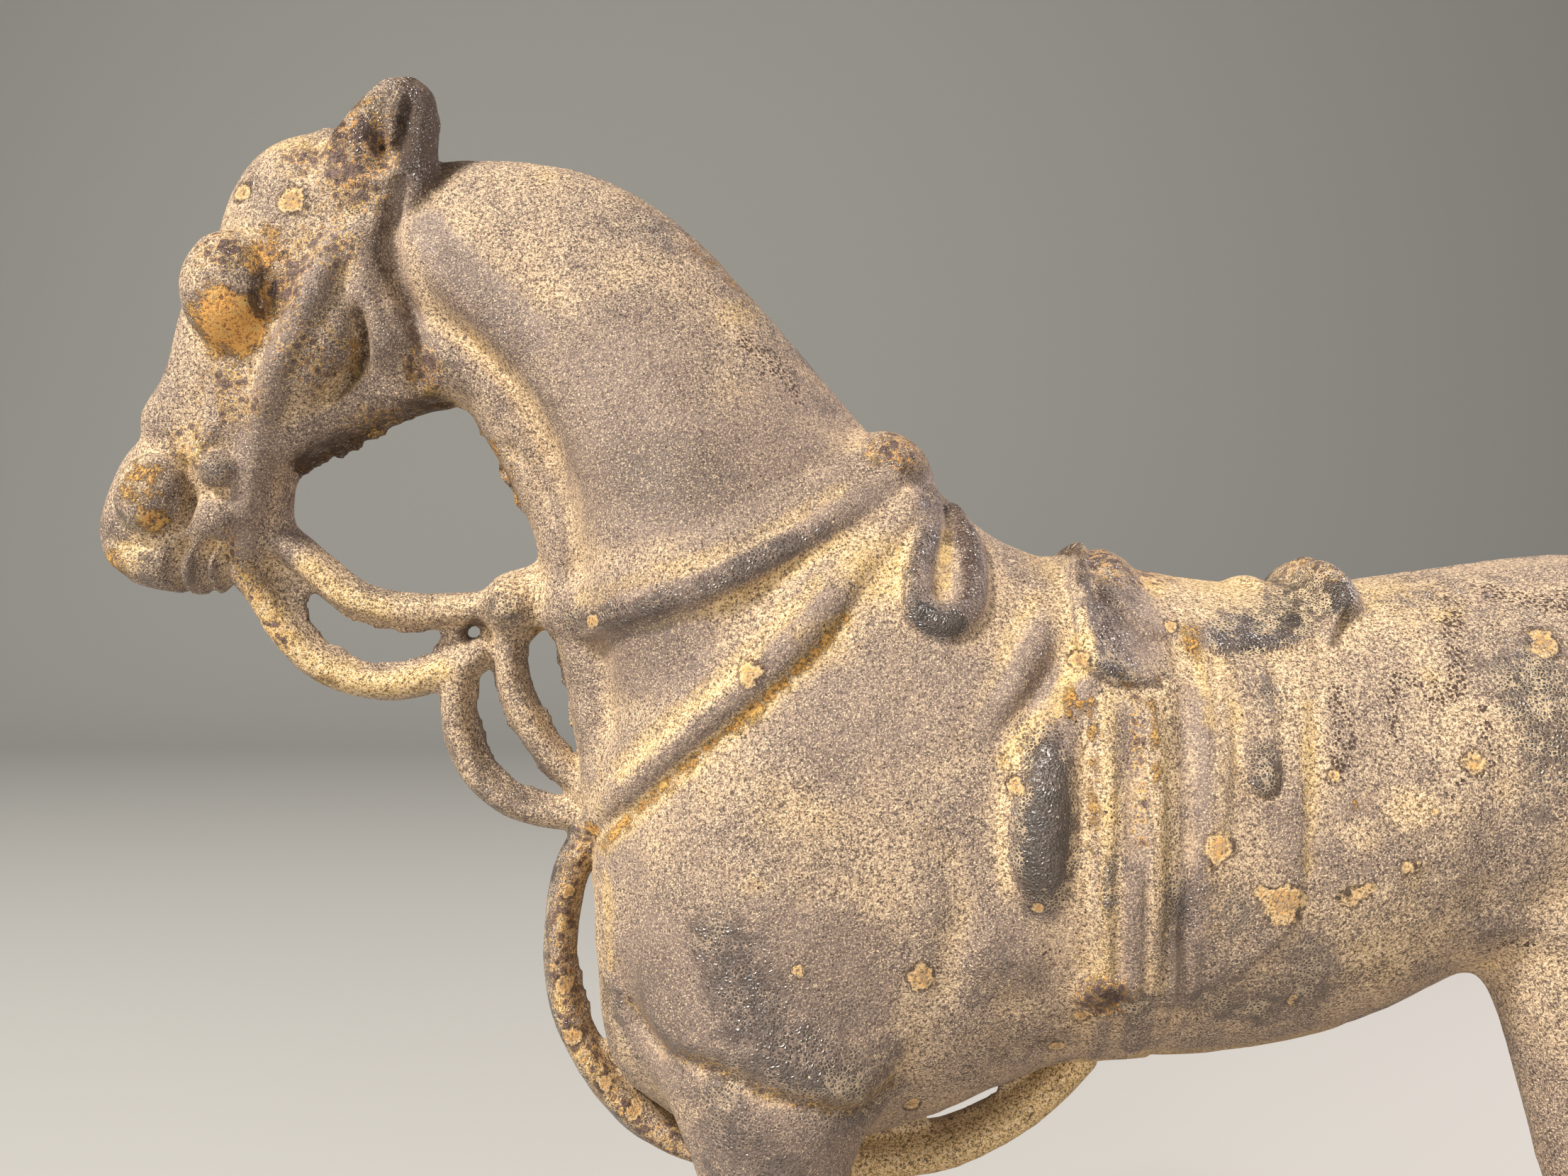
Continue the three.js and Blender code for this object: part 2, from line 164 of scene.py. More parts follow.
def smooth_rows(rows, steps):
    """Rows of numbers with more rows between them, on one smooth curve through them all."""
    rows = np.array(rows, float)
    p = np.vstack([2 * rows[:1] - rows[1:2], rows, 2 * rows[-1:] - rows[-2:-1]])
    p0, p1, p2, p3 = p[:-3, None], p[1:-2, None], p[2:-1, None], p[3:, None]
    t = (np.arange(steps) / steps)[None, :, None]
    bend = 2 * p0 - 5 * p1 + 4 * p2 - p3
    twist = 3 * p1 - p0 - 3 * p2 + p3
    curve = p1 + 0.5 * t * (p2 - p0 + t * (bend + t * twist))
    return np.vstack([curve.reshape(-1, rows.shape[1]), rows[-1:]])


def loft(ribs, fullness=0.0, sides=48, steps=6):
    """Field of a closed body through ribs. Fullness above 0 widens its lower or back half."""
    rings = smooth_rows(ribs, steps)
    turn = 2 * np.pi * np.arange(sides) / sides
    along = np.cos(turn)[None, :]
    across = np.sin(turn)[None, :] * (1 - fullness * along)
    middle = (rings[:, 0:2] + rings[:, 2:4]) / 2
    half = (rings[:, 0:2] - rings[:, 2:4]) / 2
    x = middle[:, :1] + half[:, :1] * along
    y = rings[:, 4:5] + rings[:, 5:6] * across
    z = middle[:, 1:] + half[:, 1:] * along
    corners = np.stack([x, y, z], axis=-1).reshape(-1, 3)
    ends = np.array([[middle[i, 0], rings[i, 4], middle[i, 1]] for i in (0, -1)])
    ring, side = np.meshgrid(np.arange(len(rings) - 1), np.arange(sides), indexing="ij")
    a = ring * sides + side
    b = ring * sides + (side + 1) % sides
    walls = np.stack([a, b, b + sides, a + sides], axis=-1).reshape(-1, 4)
    s = np.arange(sides)
    far = (len(rings) - 1) * sides
    caps = np.vstack([
        np.stack([np.full(sides, far + sides), (s + 1) % sides, s], axis=-1),
        np.stack([np.full(sides, far + sides + 1), far + s, far + (s + 1) % sides], axis=-1),
    ])
    solid = openvdb.FloatGrid.createLevelSetFromPolygons(
        np.vstack([corners, ends]).astype(np.float32),
        triangles=caps.astype(np.uint32),
        quads=walls.astype(np.uint32),
        transform=mould,
        halfWidth=BAND / SPACING,
    )
    field = np.full(size, BAND, np.float32)
    solid.copyToArray(field, ijk=first)
    return (slice(None),) * 3, field


def weld(one, other, fillet):
    """Two fields as one, with a fillet of about that size in the corner between them."""
    near = np.maximum(fillet - np.abs(one - other), 0) / fillet
    return np.minimum(one, other) - near * near * (fillet / 4)


def cast(form, fillet, both_sides=False):
    """Adds a form to the iron, and its mirror image on the far side too when both_sides is set."""
    cut, field = form
    iron[cut] = weld(iron[cut], field, fillet)
    if both_sides:
        mirror = iron[:, ::-1, :]
        mirror[cut] = weld(mirror[cut], field, fillet)


cast(loft(BARREL_RIBS, fullness=0.05), fillet=0.1)

# Neck: the crest's thick muscle, with the round windpipe down its front and a groove between. It
# is solid iron, run in one pour with the barrel.
NECK_RIBS = [
    [-93, 246, -88, 217, 0, 8.5],
    [-85.5, 248.6, -80.6, 212.6, 0, 10],
    [-75, 249.2, -75.4, 208.6, 0, 11.5],
    [-63, 247.4, -72.2, 202.2, 0, 13],
    [-51.8, 242.7, -69.2, 195.2, 0, 15],
    [-42.5, 234.8, -66.7, 187.5, 0, 17],
    [-33.5, 225, -65.2, 177, 0, 19.5],
    [-25, 215, -62.5, 165, 0, 21.5],
    [-16, 205, -59.5, 150, 0, 22],
    [-2, 190, -50, 130, 0, 20],
]
WINDPIPE_THICKNESS = 11.0
WINDPIPE_WIDTH = 19.0
# the muscle ends this far behind the throat's line
MUSCLE_BACK = 0.6 * WINDPIPE_THICKNESS


def pulled(rib, distance):
    """A rib's lower end moved towards its upper end, as x and z."""
    upper, lower = np.array(rib[0:2]), np.array(rib[2:4])
    return lower + (upper - lower) * distance / np.linalg.norm(upper - lower)


def block(low, high):
    """The part of the mould between two corners: its slices, and x, y and z to work with."""
    cut = []
    for axis in range(3):
        a = int(np.clip(math.floor(low[axis] / SPACING) - first[axis], 0, size[axis] - 1))
        b = int(np.clip(math.ceil(high[axis] / SPACING) - first[axis] + 1, a + 1, size[axis]))
        cut.append(slice(a, b))
    x, y, z = (AXES[axis][cut[axis]] for axis in range(3))
    return tuple(cut), x[:, None, None], y[None, :, None], z[None, None, :]


def bar(points, radii=None, flat=(1.0, 1.0, 1.0), room=4.0, pace=1.6):
    """A round bar through points [x, y, z] with radii, or through points [x, y, z, radius]. Flat
    stretches its section along an axis."""
    if radii is not None:
        points = [[*p, r] for p, r in zip(points, np.broadcast_to(radii, len(points)))]
    rows = np.array(points, float)
    length = np.linalg.norm(np.diff(rows[:, :3], axis=0), axis=1).mean()
    rows = smooth_rows(rows, max(1, round(length / pace)))
    reach = (rows[:, 3].max() + room) * np.array(flat)
    whole = block(rows[:, :3].min(axis=0) - reach, rows[:, :3].max(axis=0) + reach)[0]
    field = np.full([s.stop - s.start for s in whole], BAND, np.float32)
    for start, end in zip(rows[:-1], rows[1:]):
        low = np.minimum(start[:3], end[:3]) - reach
        high = np.maximum(start[:3], end[:3]) + reach
        cut, x, y, z = block(low, high)
        px, py, pz = (x - start[0]) / flat[0], (y - start[1]) / flat[1], (z - start[2]) / flat[2]
        dx, dy, dz = (end[:3] - start[:3]) / flat
        part = np.clip((px * dx + py * dy + pz * dz) / (dx * dx + dy * dy + dz * dz), 0, 1)
        gap = np.sqrt((px - part * dx) ** 2 + (py - part * dy) ** 2 + (pz - part * dz) ** 2)
        gap -= start[3] + part * (end[3] - start[3])
        here = tuple(slice(c.start - w.start, c.stop - w.start) for c, w in zip(cut, whole))
        field[here] = np.minimum(field[here], gap)
    return whole, field


def in_middle(route):
    """A route [x, z] as points in the horse's middle plane."""
    return [(x, 0.0, z) for x, z in route]


muscle_ribs = [[*rib[0:2], *pulled(rib, MUSCLE_BACK), *rib[4:6]] for rib in NECK_RIBS]
windpipe_route = [pulled(rib, WINDPIPE_THICKNESS / 2) for rib in NECK_RIBS]
windpipe_flat = (1, WINDPIPE_WIDTH / WINDPIPE_THICKNESS, 1)
cast(loft(muscle_ribs, fullness=0.25), fillet=5.0)
cast(bar(in_middle(windpipe_route), WINDPIPE_THICKNESS / 2, windpipe_flat), fillet=1.6)

# Head: a heavy, arched head with a domed brow, round cheeks and thick lips, cast in one with the
# neck. What lies at its side is given for the left and mirrored to the right.
HEAD_RIBS = [
    [-92, 251.5, -84, 243, 0, 6.5],
    [-102.3, 253.5, -86, 233, 0, 9.5],
    [-110.9, 250.4, -87, 221, 0, 11.5],
    [-116.2, 243.5, -84.4, 212.8, 0, 12],
    [-118.6, 233.5, -91.5, 208.6, 0, 12.2],
    [-121.4, 224.5, -99.5, 205, 0, 10.5],
    [-124.4, 216.5, -105.4, 200.8, 0, 8.8],
    [-128.8, 208.5, -107, 194, 0, 8],
    [-133.5, 202, -109, 188, 0, 8],
    [-136.3, 194, -113, 184, 0, 8.3],
    [-135.2, 188, -118.5, 182.3, 0, 7.6],
    [-131, 184.3, -124, 182.4, 0, 5.2],
]
CHEEK = dict(place=(-99.6, -6.0, 219.6), radii=(5.4, 7.2, 10.0), lean=0.5)
JAW_RIM = [(-85.0, 214), (-91, 212.9), (-95.5, 211.4), (-100.3, 209.2), (-105.9, 205.4)]
JAW_Y = -5.0
JAW_RADIUS = 2.2
NOSE_BONE = [
    (-118.3, -3.4, 226, 4.0), (-119.6, -3.4, 220.5, 4.4), (-121.4, -3.2, 214.5, 4.3),
    (-124.8, -3.2, 209, 4.0),
]
FORELOCK = dict(place=(-100.8, 0, 252.2), radii=(2.2, 4.5, 2.0))


def lump(place, radii, lean=0.0, room=5):
    """An egg-shaped lump. Lean turns its top towards the tail, in radians."""
    reach = max(radii) + room
    cut, x, y, z = block(np.array(place) - reach, np.array(place) + reach)
    dx, dy, dz = x - place[0], (y - place[1]) / radii[1], z - place[2]
    side = (math.cos(lean) * dx - math.sin(lean) * dz) / radii[0]
    up = (math.sin(lean) * dx + math.cos(lean) * dz) / radii[2]
    near = np.sqrt(side**2 + dy**2 + up**2) + 1e-6
    steep = np.sqrt((side / radii[0]) ** 2 + (dy / radii[1]) ** 2 + (up / radii[2]) ** 2) + 1e-6
    return cut, np.minimum(near * (near - 1) / steep, BAND)


cast(loft(HEAD_RIBS, fullness=-0.1), fillet=4.0)
cast(lump(**CHEEK), fillet=3.0, both_sides=True)
cast(lump(**FORELOCK), fillet=1.2)
cast(bar([(x, JAW_Y, z) for x, z in JAW_RIM], JAW_RADIUS), fillet=3.0, both_sides=True)
cast(bar(NOSE_BONE), fillet=2.5, both_sides=True)

# Ears: two short pricked ears, hollow at the side, with a web of iron between them at the back
# that the mould couldn't leave out. The web and the backs are bars, [x, y, z, radius].
EAR_RIBS = [
    [-101, 242, -92, 240, -6.5, 3.4],
    [-99.8, 248.5, -90.4, 248, -7.2, 3.6],
    [-96.6, 253.0, -87.6, 253.2, -7.7, 3.3],
    [-93.4, 256.9, -86.0, 257.2, -7.6, 2.7],
    [-90.9, 259.4, -86.2, 259.5, -7.3, 1.5],
]
EAR_WEB = [(-89.5, 0, 241, 3.8), (-88.8, 0, 247, 3.6), (-88.2, 0, 252.5, 3.2), (-87.6, 0, 257, 1.9)]
EAR_BACK = [
    (-87.4, -5.2, 242, 3.4), (-87.0, -5.5, 248, 3.4), (-86.6, -5.8, 253, 3.3),
    (-86.6, -6.1, 256.2, 3.0),
]
EAR_WEB_FLAT = (1, 2.2, 1)
EAR_BACK_FLAT = (1, 1.3, 1)
FAR_EAR_FORWARD = 3.0
cast(loft(EAR_RIBS), fillet=1.5, both_sides=True)
cast(bar(EAR_WEB, flat=EAR_WEB_FLAT), fillet=1.5)
cast(bar(EAR_BACK, flat=EAR_BACK_FLAT), fillet=1.2)
far_ear_back = [(x - FAR_EAR_FORWARD, -y, z, radius) for x, y, z, radius in EAR_BACK]
cast(bar(far_ear_back, flat=EAR_BACK_FLAT), fillet=1.2)

# Legs and tail: stout forelegs, hocked hind legs and a tail that hangs clear of them, all solid
# iron and part of the same casting. The hooves stand on the plinth.
LEG_Y = 17.0
FAR_FORELEG_BACK = 5.0
FAR_HIND_BACK = 16.0
PLINTH_TOP = 12.0
FORELEG_RIBS = [
    [-46, 166, -14, 178, -9, 14],
    [-49.5, 150, -10, 160, -13.5, 14],
    [-51, 134, -9, 145, -14.5, 14.2],
    [-50, 119, -11, 130, -15.5, 13.4],
    [-46.8, 108, -15, 114, -LEG_Y, 11.5],
    [-43.3, 99, -21.2, 101, -LEG_Y, 9.6],
    [-41, 86, -25, 86, -LEG_Y, 7.4],
    [-39.2, 73, -27.3, 72, -LEG_Y, 6],
    [-40.2, 63, -26.8, 61, -LEG_Y, 6.5],
    [-38.4, 54, -28.4, 53, -LEG_Y, 5.2],
    [-37.6, 42, -28.8, 42, -LEG_Y, 4.5],
    [-38, 33, -27, 32, -LEG_Y, 5.4],
    [-40.2, 27, -30, 24.5, -LEG_Y, 4.9],
    [-43, 22.5, -29, 21, -LEG_Y, 6.9],
    [-46, PLINTH_TOP, -28, PLINTH_TOP, -LEG_Y, 8.5],
]
HIND_RIBS = [
    [66, 156, 116, 172, -11, 16],
    [66, 143, 120.5, 158, -14.5, 15],
    [69, 130.7, 119.5, 141, -16, 14.5],
    [73, 119, 113, 124, -LEG_Y, 13],
    [75.8, 108.4, 106.5, 109, -LEG_Y, 10.6],
    [78.6, 97, 102.5, 96, -LEG_Y, 8.8],
    [82.5, 86, 102.5, 85, -LEG_Y, 7.4],
    [88, 74, 105.5, 75, -LEG_Y, 6.5],
    [91, 64, 105, 62, -LEG_Y, 6.3],
    [92.3, 53, 102.3, 52, -LEG_Y, 5.2],
    [92.2, 41, 101, 41, -LEG_Y, 4.7],
    [90.8, 33, 101.6, 32, -LEG_Y, 5.5],
    [88.4, 27, 98, 24.5, -LEG_Y, 5],
    [85, 22.5, 98.5, 21, -LEG_Y, 7],
    [81.5, PLINTH_TOP, 99.5, PLINTH_TOP, -LEG_Y, 8.5],
]
TAIL_RIBS = [
    [106, 184, 103, 172, 0, 5],
    [119, 180.5, 112, 168, 0, 6],
    [129, 173, 118, 162, 0, 6.8],
    [134.6, 158, 121.5, 152, 0, 7.6],
    [136.3, 138, 123.2, 138, 0, 8.2],
    [135.8, 116, 123.6, 118, 0, 8],
    [133.5, 97, 124, 100, 0, 6.4],
    [129.5, 82, 126, 85, 0, 2.4],
]


def far_side(ribs, shifts):
    """The same leg on the far side, each rib moved back by its shifts at the front and back."""
    moved = []
    for rib, (front, back) in zip(ribs, shifts):
        moved.append([rib[0] + front, rib[1], rib[2] + back, rib[3], -rib[4], rib[5]])
    return moved


far_fore_shifts = [(FAR_FORELEG_BACK, FAR_FORELEG_BACK)] * len(FORELEG_RIBS)
# the far hind leg reaches its full shift at its fourth rib in front and its seventh behind
far_hind_shifts = [
    (FAR_HIND_BACK * min(1, i / 3), FAR_HIND_BACK * min(1, i / 6)) for i in range(len(HIND_RIBS))
]
cast(loft(FORELEG_RIBS), fillet=4.0)
cast(loft(far_side(FORELEG_RIBS, far_fore_shifts)), fillet=4.0)
cast(loft(HIND_RIBS), fillet=5.0)
cast(loft(far_side(HIND_RIBS, far_hind_shifts)), fillet=5.0)
cast(loft(TAIL_RIBS), fillet=4.0)

# Low relief of the animal: muscles, creases and folds that the pattern maker cut into its sides,
# so they came out of the mould with the iron. Each is a mark in the side view, [x, z], with a
# height or depth and a width, and both sides carry it.
relief = np.zeros((size[0], size[2]), np.float32)
side_x, side_z = AXES[0][:, None], AXES[2][None, :]
FAR_OFF = 1e3


def gap_to(route, x=side_x, z=side_z):
    """Distance in the side view from each place to a smooth route, how far along the route that
    is, and 1 for places on its left or -1 on its right."""
    rows = smooth_rows(route, 4)
    gap = np.full(np.broadcast(x, z).shape, FAR_OFF, np.float32)
    along = np.zeros(gap.shape, np.float32)
    side = np.zeros(gap.shape, np.float32)
    for step, ((ax, az), (bx, bz)) in enumerate(zip(rows[:-1], rows[1:])):
        dx, dz = bx - ax, bz - az
        part = np.clip(((x - ax) * dx + (z - az) * dz) / (dx * dx + dz * dz + 1e-9), 0, 1)
        here = np.hypot(x - ax - part * dx, z - az - part * dz)
        nearer = here < gap
        along = np.where(nearer, (step + part) / (len(rows) - 1), along)
        side = np.where(nearer, np.sign(dx * (z - az) - dz * (x - ax)), side)
        gap = np.minimum(gap, here)
    return gap, along, side


def ramp(value, low, high):
    """0 at low and 1 at high, with an easy curve between."""
    part = np.clip((value - low) / (high - low), 0, 1)
    return part * part * (3 - 2 * part)


def faded(along, fade, start=-0.02):
    """1 along the middle of a route, falling to nothing over that part of it at its ends."""
    return ramp(np.minimum(along, 1 - along), start, fade)


def ridge(route, height, width, fade=0.2):
    """A soft ridge along a route, fading at its ends. Width is from its crest to its foot."""
    gap, along, _ = gap_to(route)
    near = np.clip(1 - (gap / width) ** 2, 0, 1) ** 2
    relief[...] += height * near * faded(along, fade)


def groove(route, depth, width, fade=0.2):
    """A narrow-bottomed groove along a route, fading at its ends."""
    gap, along, _ = gap_to(route)
    relief[...] -= depth * ramp(1 - gap / width, 0, 1) * faded(along, fade)


def bank(route, height, foot, reach, fade=0.2):
    """Ground that stands higher on the left of a route, falling away again over that reach."""
    gap, along, side = gap_to(route)
    rise = ramp(gap * side, -foot / 2, foot / 2) * (1 - ramp(gap * side, foot, reach))
    relief[...] += height * rise * faded(along, fade)


def swell(x, z, radii, height, lean=0.0):
    """A broad soft swelling, or a hollow where the height is negative."""
    dx, dz = side_x - x, side_z - z
    across = (math.cos(lean) * dx - math.sin(lean) * dz) / radii[0]
    up = (math.sin(lean) * dx + math.cos(lean) * dz) / radii[1]
    relief[...] += height * np.clip(1 - across**2 - up**2, 0, 1) ** 2


# head
ridge([(-101.4, 251), (-100.3, 248.6), (-101.4, 244.6), (-104, 243)], -0.7, 2.2)
ridge([(-97.3, 233.5), (-98.9, 228), (-102.2, 221), (-106.6, 212.5), (-109.5, 206.5)], 1.2, 3.0)
groove([(-94.4, 226.5), (-93.3, 221.5), (-94, 217.7), (-96.2, 214.4), (-103.4, 208.2)], 2.2, 2.4)
ridge([(-94.4, 239), (-93.6, 232), (-91.8, 222), (-88, 214.6)], 1.4, 3.6)
groove([(-86.0, 246), (-89, 240), (-89.2, 232.5), (-86.6, 223.3), (-83.4, 215)], 1.1, 1.9)
bank([(-83.4, 215), (-86.6, 223.3), (-89.4, 232.5), (-89.4, 239), (-87.0, 245)], 0.9, 1.8, 7.0)
swell(-105.5, 225.5, (3.6, 6.5), -1.2, 0.3)
swell(-105.4, 197.6, (3.4, 6.0), -1.9, 0.1)
groove(
    [(-122.3, 203.6), (-120.2, 200.6), (-119.8, 197.5), (-121, 193.8), (-124.2, 191.2)], 1.9, 2.0
)
ridge([(-114.4, 208.6), (-117.6, 205.4), (-119.2, 201), (-119.3, 196.5)], 0.9, 2.2)
ridge([(-111.4, 206), (-110.6, 201), (-111.4, 196.4), (-112.6, 190)], 1.0, 3.0)
for lip_x, lip_z in ((-123.2, 182), (-119.6, 181.6), (-116.6, 181.4)):
    groove([(lip_x + 3.4, 191.5), (lip_x + 0.9, 187.6), (lip_x - 0.2, lip_z)], 1.9, 1.7)
groove([(-134.5, 190.5), (-130, 189.2), (-125.5, 189.6), (-121, 190.5)], 0.7, 1.8)
# ear
groove([(-89.6, 256.2), (-91.0, 252.4), (-92.4, 248.4)], 0.9, 1.9)
swell(-91.4, 249, (1.3, 2.0), -0.9)
ridge([(-87.4, 258), (-88.4, 253), (-89.6, 247.6)], 0.7, 1.3)
groove([(-86.6, 256), (-86.9, 252), (-87.6, 247)], 0.5, 1.6)
ridge([(-101, 243.4), (-98.6, 248), (-95.4, 252), (-91.6, 256.6)], 0.5, 2.0)
ridge([(-98.5, 244), (-93, 243.4), (-87, 245)], 0.6, 1.8)
# neck
bank(
    [(-87.2, 235), (-83.2, 227.6), (-75.8, 220.2), (-67.5, 211.8), (-62.6, 203.4), (-59.4, 192)],
    1.5, 3.6, 13, 0.25,
)
ridge([(-85.2, 236), (-82, 231.4), (-78, 226.2), (-73.1, 221), (-67, 214.4)], 0.7, 4.2)
groove([(-85, 228), (-76.6, 219.4), (-68.4, 211), (-63.3, 202.6), (-60.2, 193)], 0.3, 2.6, 0.3)
groove([(-73.2, 206), (-70.1, 202), (-67.4, 198), (-64.6, 191)], 0.6, 1.6)
# chest, shoulder and elbow
groove([(-54.5, 132), (-52.8, 125), (-50, 119.5), (-46.5, 116)], 0.9, 3.0)
ELBOW_FOLD = [
    (-55.5, 131), (-52.8, 124), (-47.6, 119), (-40.2, 118.2), (-35.5, 116.1), (-28, 113.8),
    (-21.4, 112.2), (-16.7, 114.5), (-10.5, 123.9),
]
groove(ELBOW_FOLD, 0.9, 3.0)
bank(ELBOW_FOLD, 1.5, 3.2, 15)
swell(-1.5, 133.5, (8.5, 7), 0.9)
groove([(-11, 152), (-7, 143), (-8.5, 132), (-9.4, 124)], 0.9, 4.0)
# flank and thigh
groove([(62, 137), (66, 150), (67, 160)], 0.8, 7.0)
ridge([(63, 133.5), (70.2, 136), (80, 135.5)], 0.9, 5.0)

iron -= relief[:, None, :]

# Saddle and girth: flap, seat, pommel, cantle, pad and leathers, all of them iron and cast on.
# They are thin raised panels in the side view, with their folds and rolled edges.
FLAP_OUTLINE = [
    (16, 204), (15.1, 190), (12.9, 187.4), (11.2, 184), (10.4, 179.6), (10.3, 173.7), (11, 172.3),
    (13.2, 171.1), (15.9, 170.1), (18.8, 169.9), (21, 171.4), (25, 175), (29, 181), (29, 204),
]
SEAT_OUTLINE = [
    (10, 204), (12, 186), (20, 177), (27, 174.6), (38, 174.6), (43.5, 175.6), (48, 179.5),
    (55, 184), (57, 204),
]
PAD_OUTLINE = [
    (9.5, 204), (9.5, 176), (9.8, 140), (12, 126), (26, 126), (37.2, 138), (38.2, 155), (40.8, 167),
    (44.3, 175), (54, 182), (57, 204),
]
GIRTH_OUTLINE = [
    (10.2, 178), (9.8, 140), (12.4, 124), (13.6, 104), (22.6, 104), (22, 124), (21.8, 140),
    (22.6, 178),
]
POMMEL = dict(place=(17.6, 0, 182.8), radii=(5.2, 14, 6.4))
CANTLE = dict(place=(50.2, 0, 180.6), radii=(4.6, 17, 7.4), lean=-0.1)
SEAT_RISE = dict(place=(40.3, 0, 183.6), radii=(2.4, 6, 1.5))
STRAP_END = [
    (30.6, 174), (30.4, 161), (30.4, 157.6), (31.4, 155.8), (33, 155.2), (34.7, 156), (35.5, 158),
    (35.5, 165), (36, 174),
]


def inset(outline):
    """How far each place is inside an outline, negative outside it."""
    x, z = side_x, side_z
    corners = np.array(outline, float)
    gap = np.full(np.broadcast(x, z).shape, FAR_OFF, np.float32)
    inside = np.zeros(gap.shape, bool)
    for (ax, az), (bx, bz) in zip(corners, np.roll(corners, -1, axis=0)):
        dx, dz = bx - ax, bz - az
        part = np.clip(((x - ax) * dx + (z - az) * dz) / (dx * dx + dz * dz), 0, 1)
        gap = np.minimum(gap, np.hypot(x - ax - part * dx, z - az - part * dz))
        if az != bz:
            inside ^= ((az > z) != (bz > z)) & (x < ax + dx * (z - az) / dz)
    return np.where(inside, gap, -gap)


def panel(outline, height, edge, share=1.0):
    """A flat raised panel whose edge slopes over that width, at a share of its height."""
    relief[...] += height * ramp(inset(outline), -edge / 2, edge / 2) * share


relief[...] = 0
panel(PAD_OUTLINE, 0.7, 2.0)
panel(GIRTH_OUTLINE, 0.6, 1.2)
panel(SEAT_OUTLINE, 0.9, 1.6)
# the flap stands proud at its front edge alone, and runs out under the seat
flap_front = (1 - ramp(side_x, 13, 24)) * (1 - ramp(side_z, 181, 188))
panel(FLAP_OUTLINE, 1.3, 1.2, flap_front)
ridge([(50.4, 183.5), (48.8, 180.4), (46.4, 177), (44.8, 173.6)], 1.4, 1.4, 0.3)
# folds between the withers and the flap
ridge([(7.6, 181), (4.6, 175.6), (0.6, 170), (-3.6, 164)], 0.9, 3.2, 0.35)
groove([(9.6, 177), (6.8, 172.4), (3.6, 168.4), (-0.6, 163.4), (-3, 159)], 1.0, 3.0, 0.35)
groove([(6, 186), (1, 178), (-3, 172)], 0.5, 4.0, 0.35)
ridge([(10.8, 172.6), (9, 169.6), (6.4, 166.6), (3.2, 163.4)], 0.8, 2.2, 0.35)
# girth and the leathers behind it
ridge([(13.2, 170), (12.5, 161), (11.9, 152), (11.8, 140), (13, 124), (14, 112)], 0.8, 1.5)
ridge([(19.8, 170), (18.9, 161), (18.3, 150), (18.4, 138), (19, 124), (19.5, 112)], 0.8, 1.6)
groove([(16, 169.5), (15.6, 161), (15.1, 152), (15.2, 142)], 0.4, 1.6)
groove([(23.6, 171), (22.2, 161), (21.5, 152), (21.8, 140), (22.4, 128)], 0.9, 3.0)
ridge([(27.3, 175), (26.8, 168), (25.6, 160), (25.2, 150)], 0.5, 1.4)
ridge([(30.2, 174), (29, 166), (27.6, 158), (26.6, 148)], 0.7, 1.8)
ridge([(20.6, 140), (21.4, 131), (22, 120)], 0.6, 1.0)
ridge([(23.6, 140), (24.2, 131), (24.4, 121)], 0.5, 1.0)
# end of the hanging strap
panel(STRAP_END, 0.7, 1.2)
groove(STRAP_END[1:-1], 0.8, 1.3, 0.3)
swell(33.2, 158.6, (1.9, 2.6), 0.5)
iron -= relief[:, None, :]
cast(lump(**POMMEL), fillet=1.5)
cast(lump(**CANTLE), fillet=1.2)
cast(lump(**SEAT_RISE), fillet=1.4)

# Eye, nostril and bit: round iron lumps that stand proud of the head on both sides. They are cast
# with it, and come after its creases here, so that the creases don't cut them.
EYE = dict(place=(-113.3, -9.2, 227.4), radii=(7.1, 6.4, 9.0), lean=-0.06)
NOSTRIL = dict(place=(-125.9, -6.8, 197.2), radii=(5.4, 5.0, 6.3), lean=0.3)
BIT_RING = dict(place=(-115.4, -8.2, 201.0), radii=(2.8, 2.8, 2.9))
BIT_END = dict(place=(-116.0, -7.0, 193.6), radii=(3.1, 3.2, 3.1))
cast(lump(**EYE), fillet=0.9, both_sides=True)
cast(lump(**NOSTRIL), fillet=0.8, both_sides=True)
cast(lump(**BIT_RING), fillet=1.0, both_sides=True)
cast(lump(**BIT_END), fillet=1.4, both_sides=True)

# Straps on the horse's sides: cheek strap, two collars, the loop that hangs from the withers,
# girth strap, knee roll and buckle. All are round iron cords of the one casting and lie half sunk
# in what is beneath. A third number in a row is the radius there.
CHEEK_STRAP = [
    (-97, 234), (-100.5, 225.5), (-105.5, 215.5), (-109.5, 206), (-111.6, 198), (-113, 190),
]
UPPER_COLLAR = [
    (-68.5, 180), (-60.3, 178), (-51.3, 180.5), (-40.9, 184), (-30.6, 189.1), (-22.8, 193.8),
    (-15, 199),
]
LOWER_COLLAR = [
    (-59.4, 148), (-53.1, 154.5), (-43.1, 163.8), (-33.7, 171.9), (-24.4, 181.2), (-12, 195),
]
WITHERS_LOOP = [
    (-10.9, 200.4), (-9.4, 196.2), (-10.3, 191.4), (-11.9, 187), (-12.6, 183.4), (-12.1, 180.2),
    (-10, 178.6), (-7.6, 178.8), (-5.6, 180.8), (-4.6, 184), (-4.3, 187.4), (-4.8, 190.8),
    (-6.0, 194.4),
]
LOOP_RADII = (2.2, 1.9, 2.0, 2.3, 2.6, 2.9, 3.1, 3.0, 2.8, 2.7, 2.5, 2.2, 1.8)
KNEE_ROLL = [
    (10.4, 169.6, 0.8), (9, 166.6, 1.7), (6.9, 162.8, 2.9), (4.9, 158.5, 4.1), (3.5, 153, 4.9),
    (3.1, 147.5, 4.6), (3.5, 143.2, 3.2), (4.2, 140.4, 1.5),
]
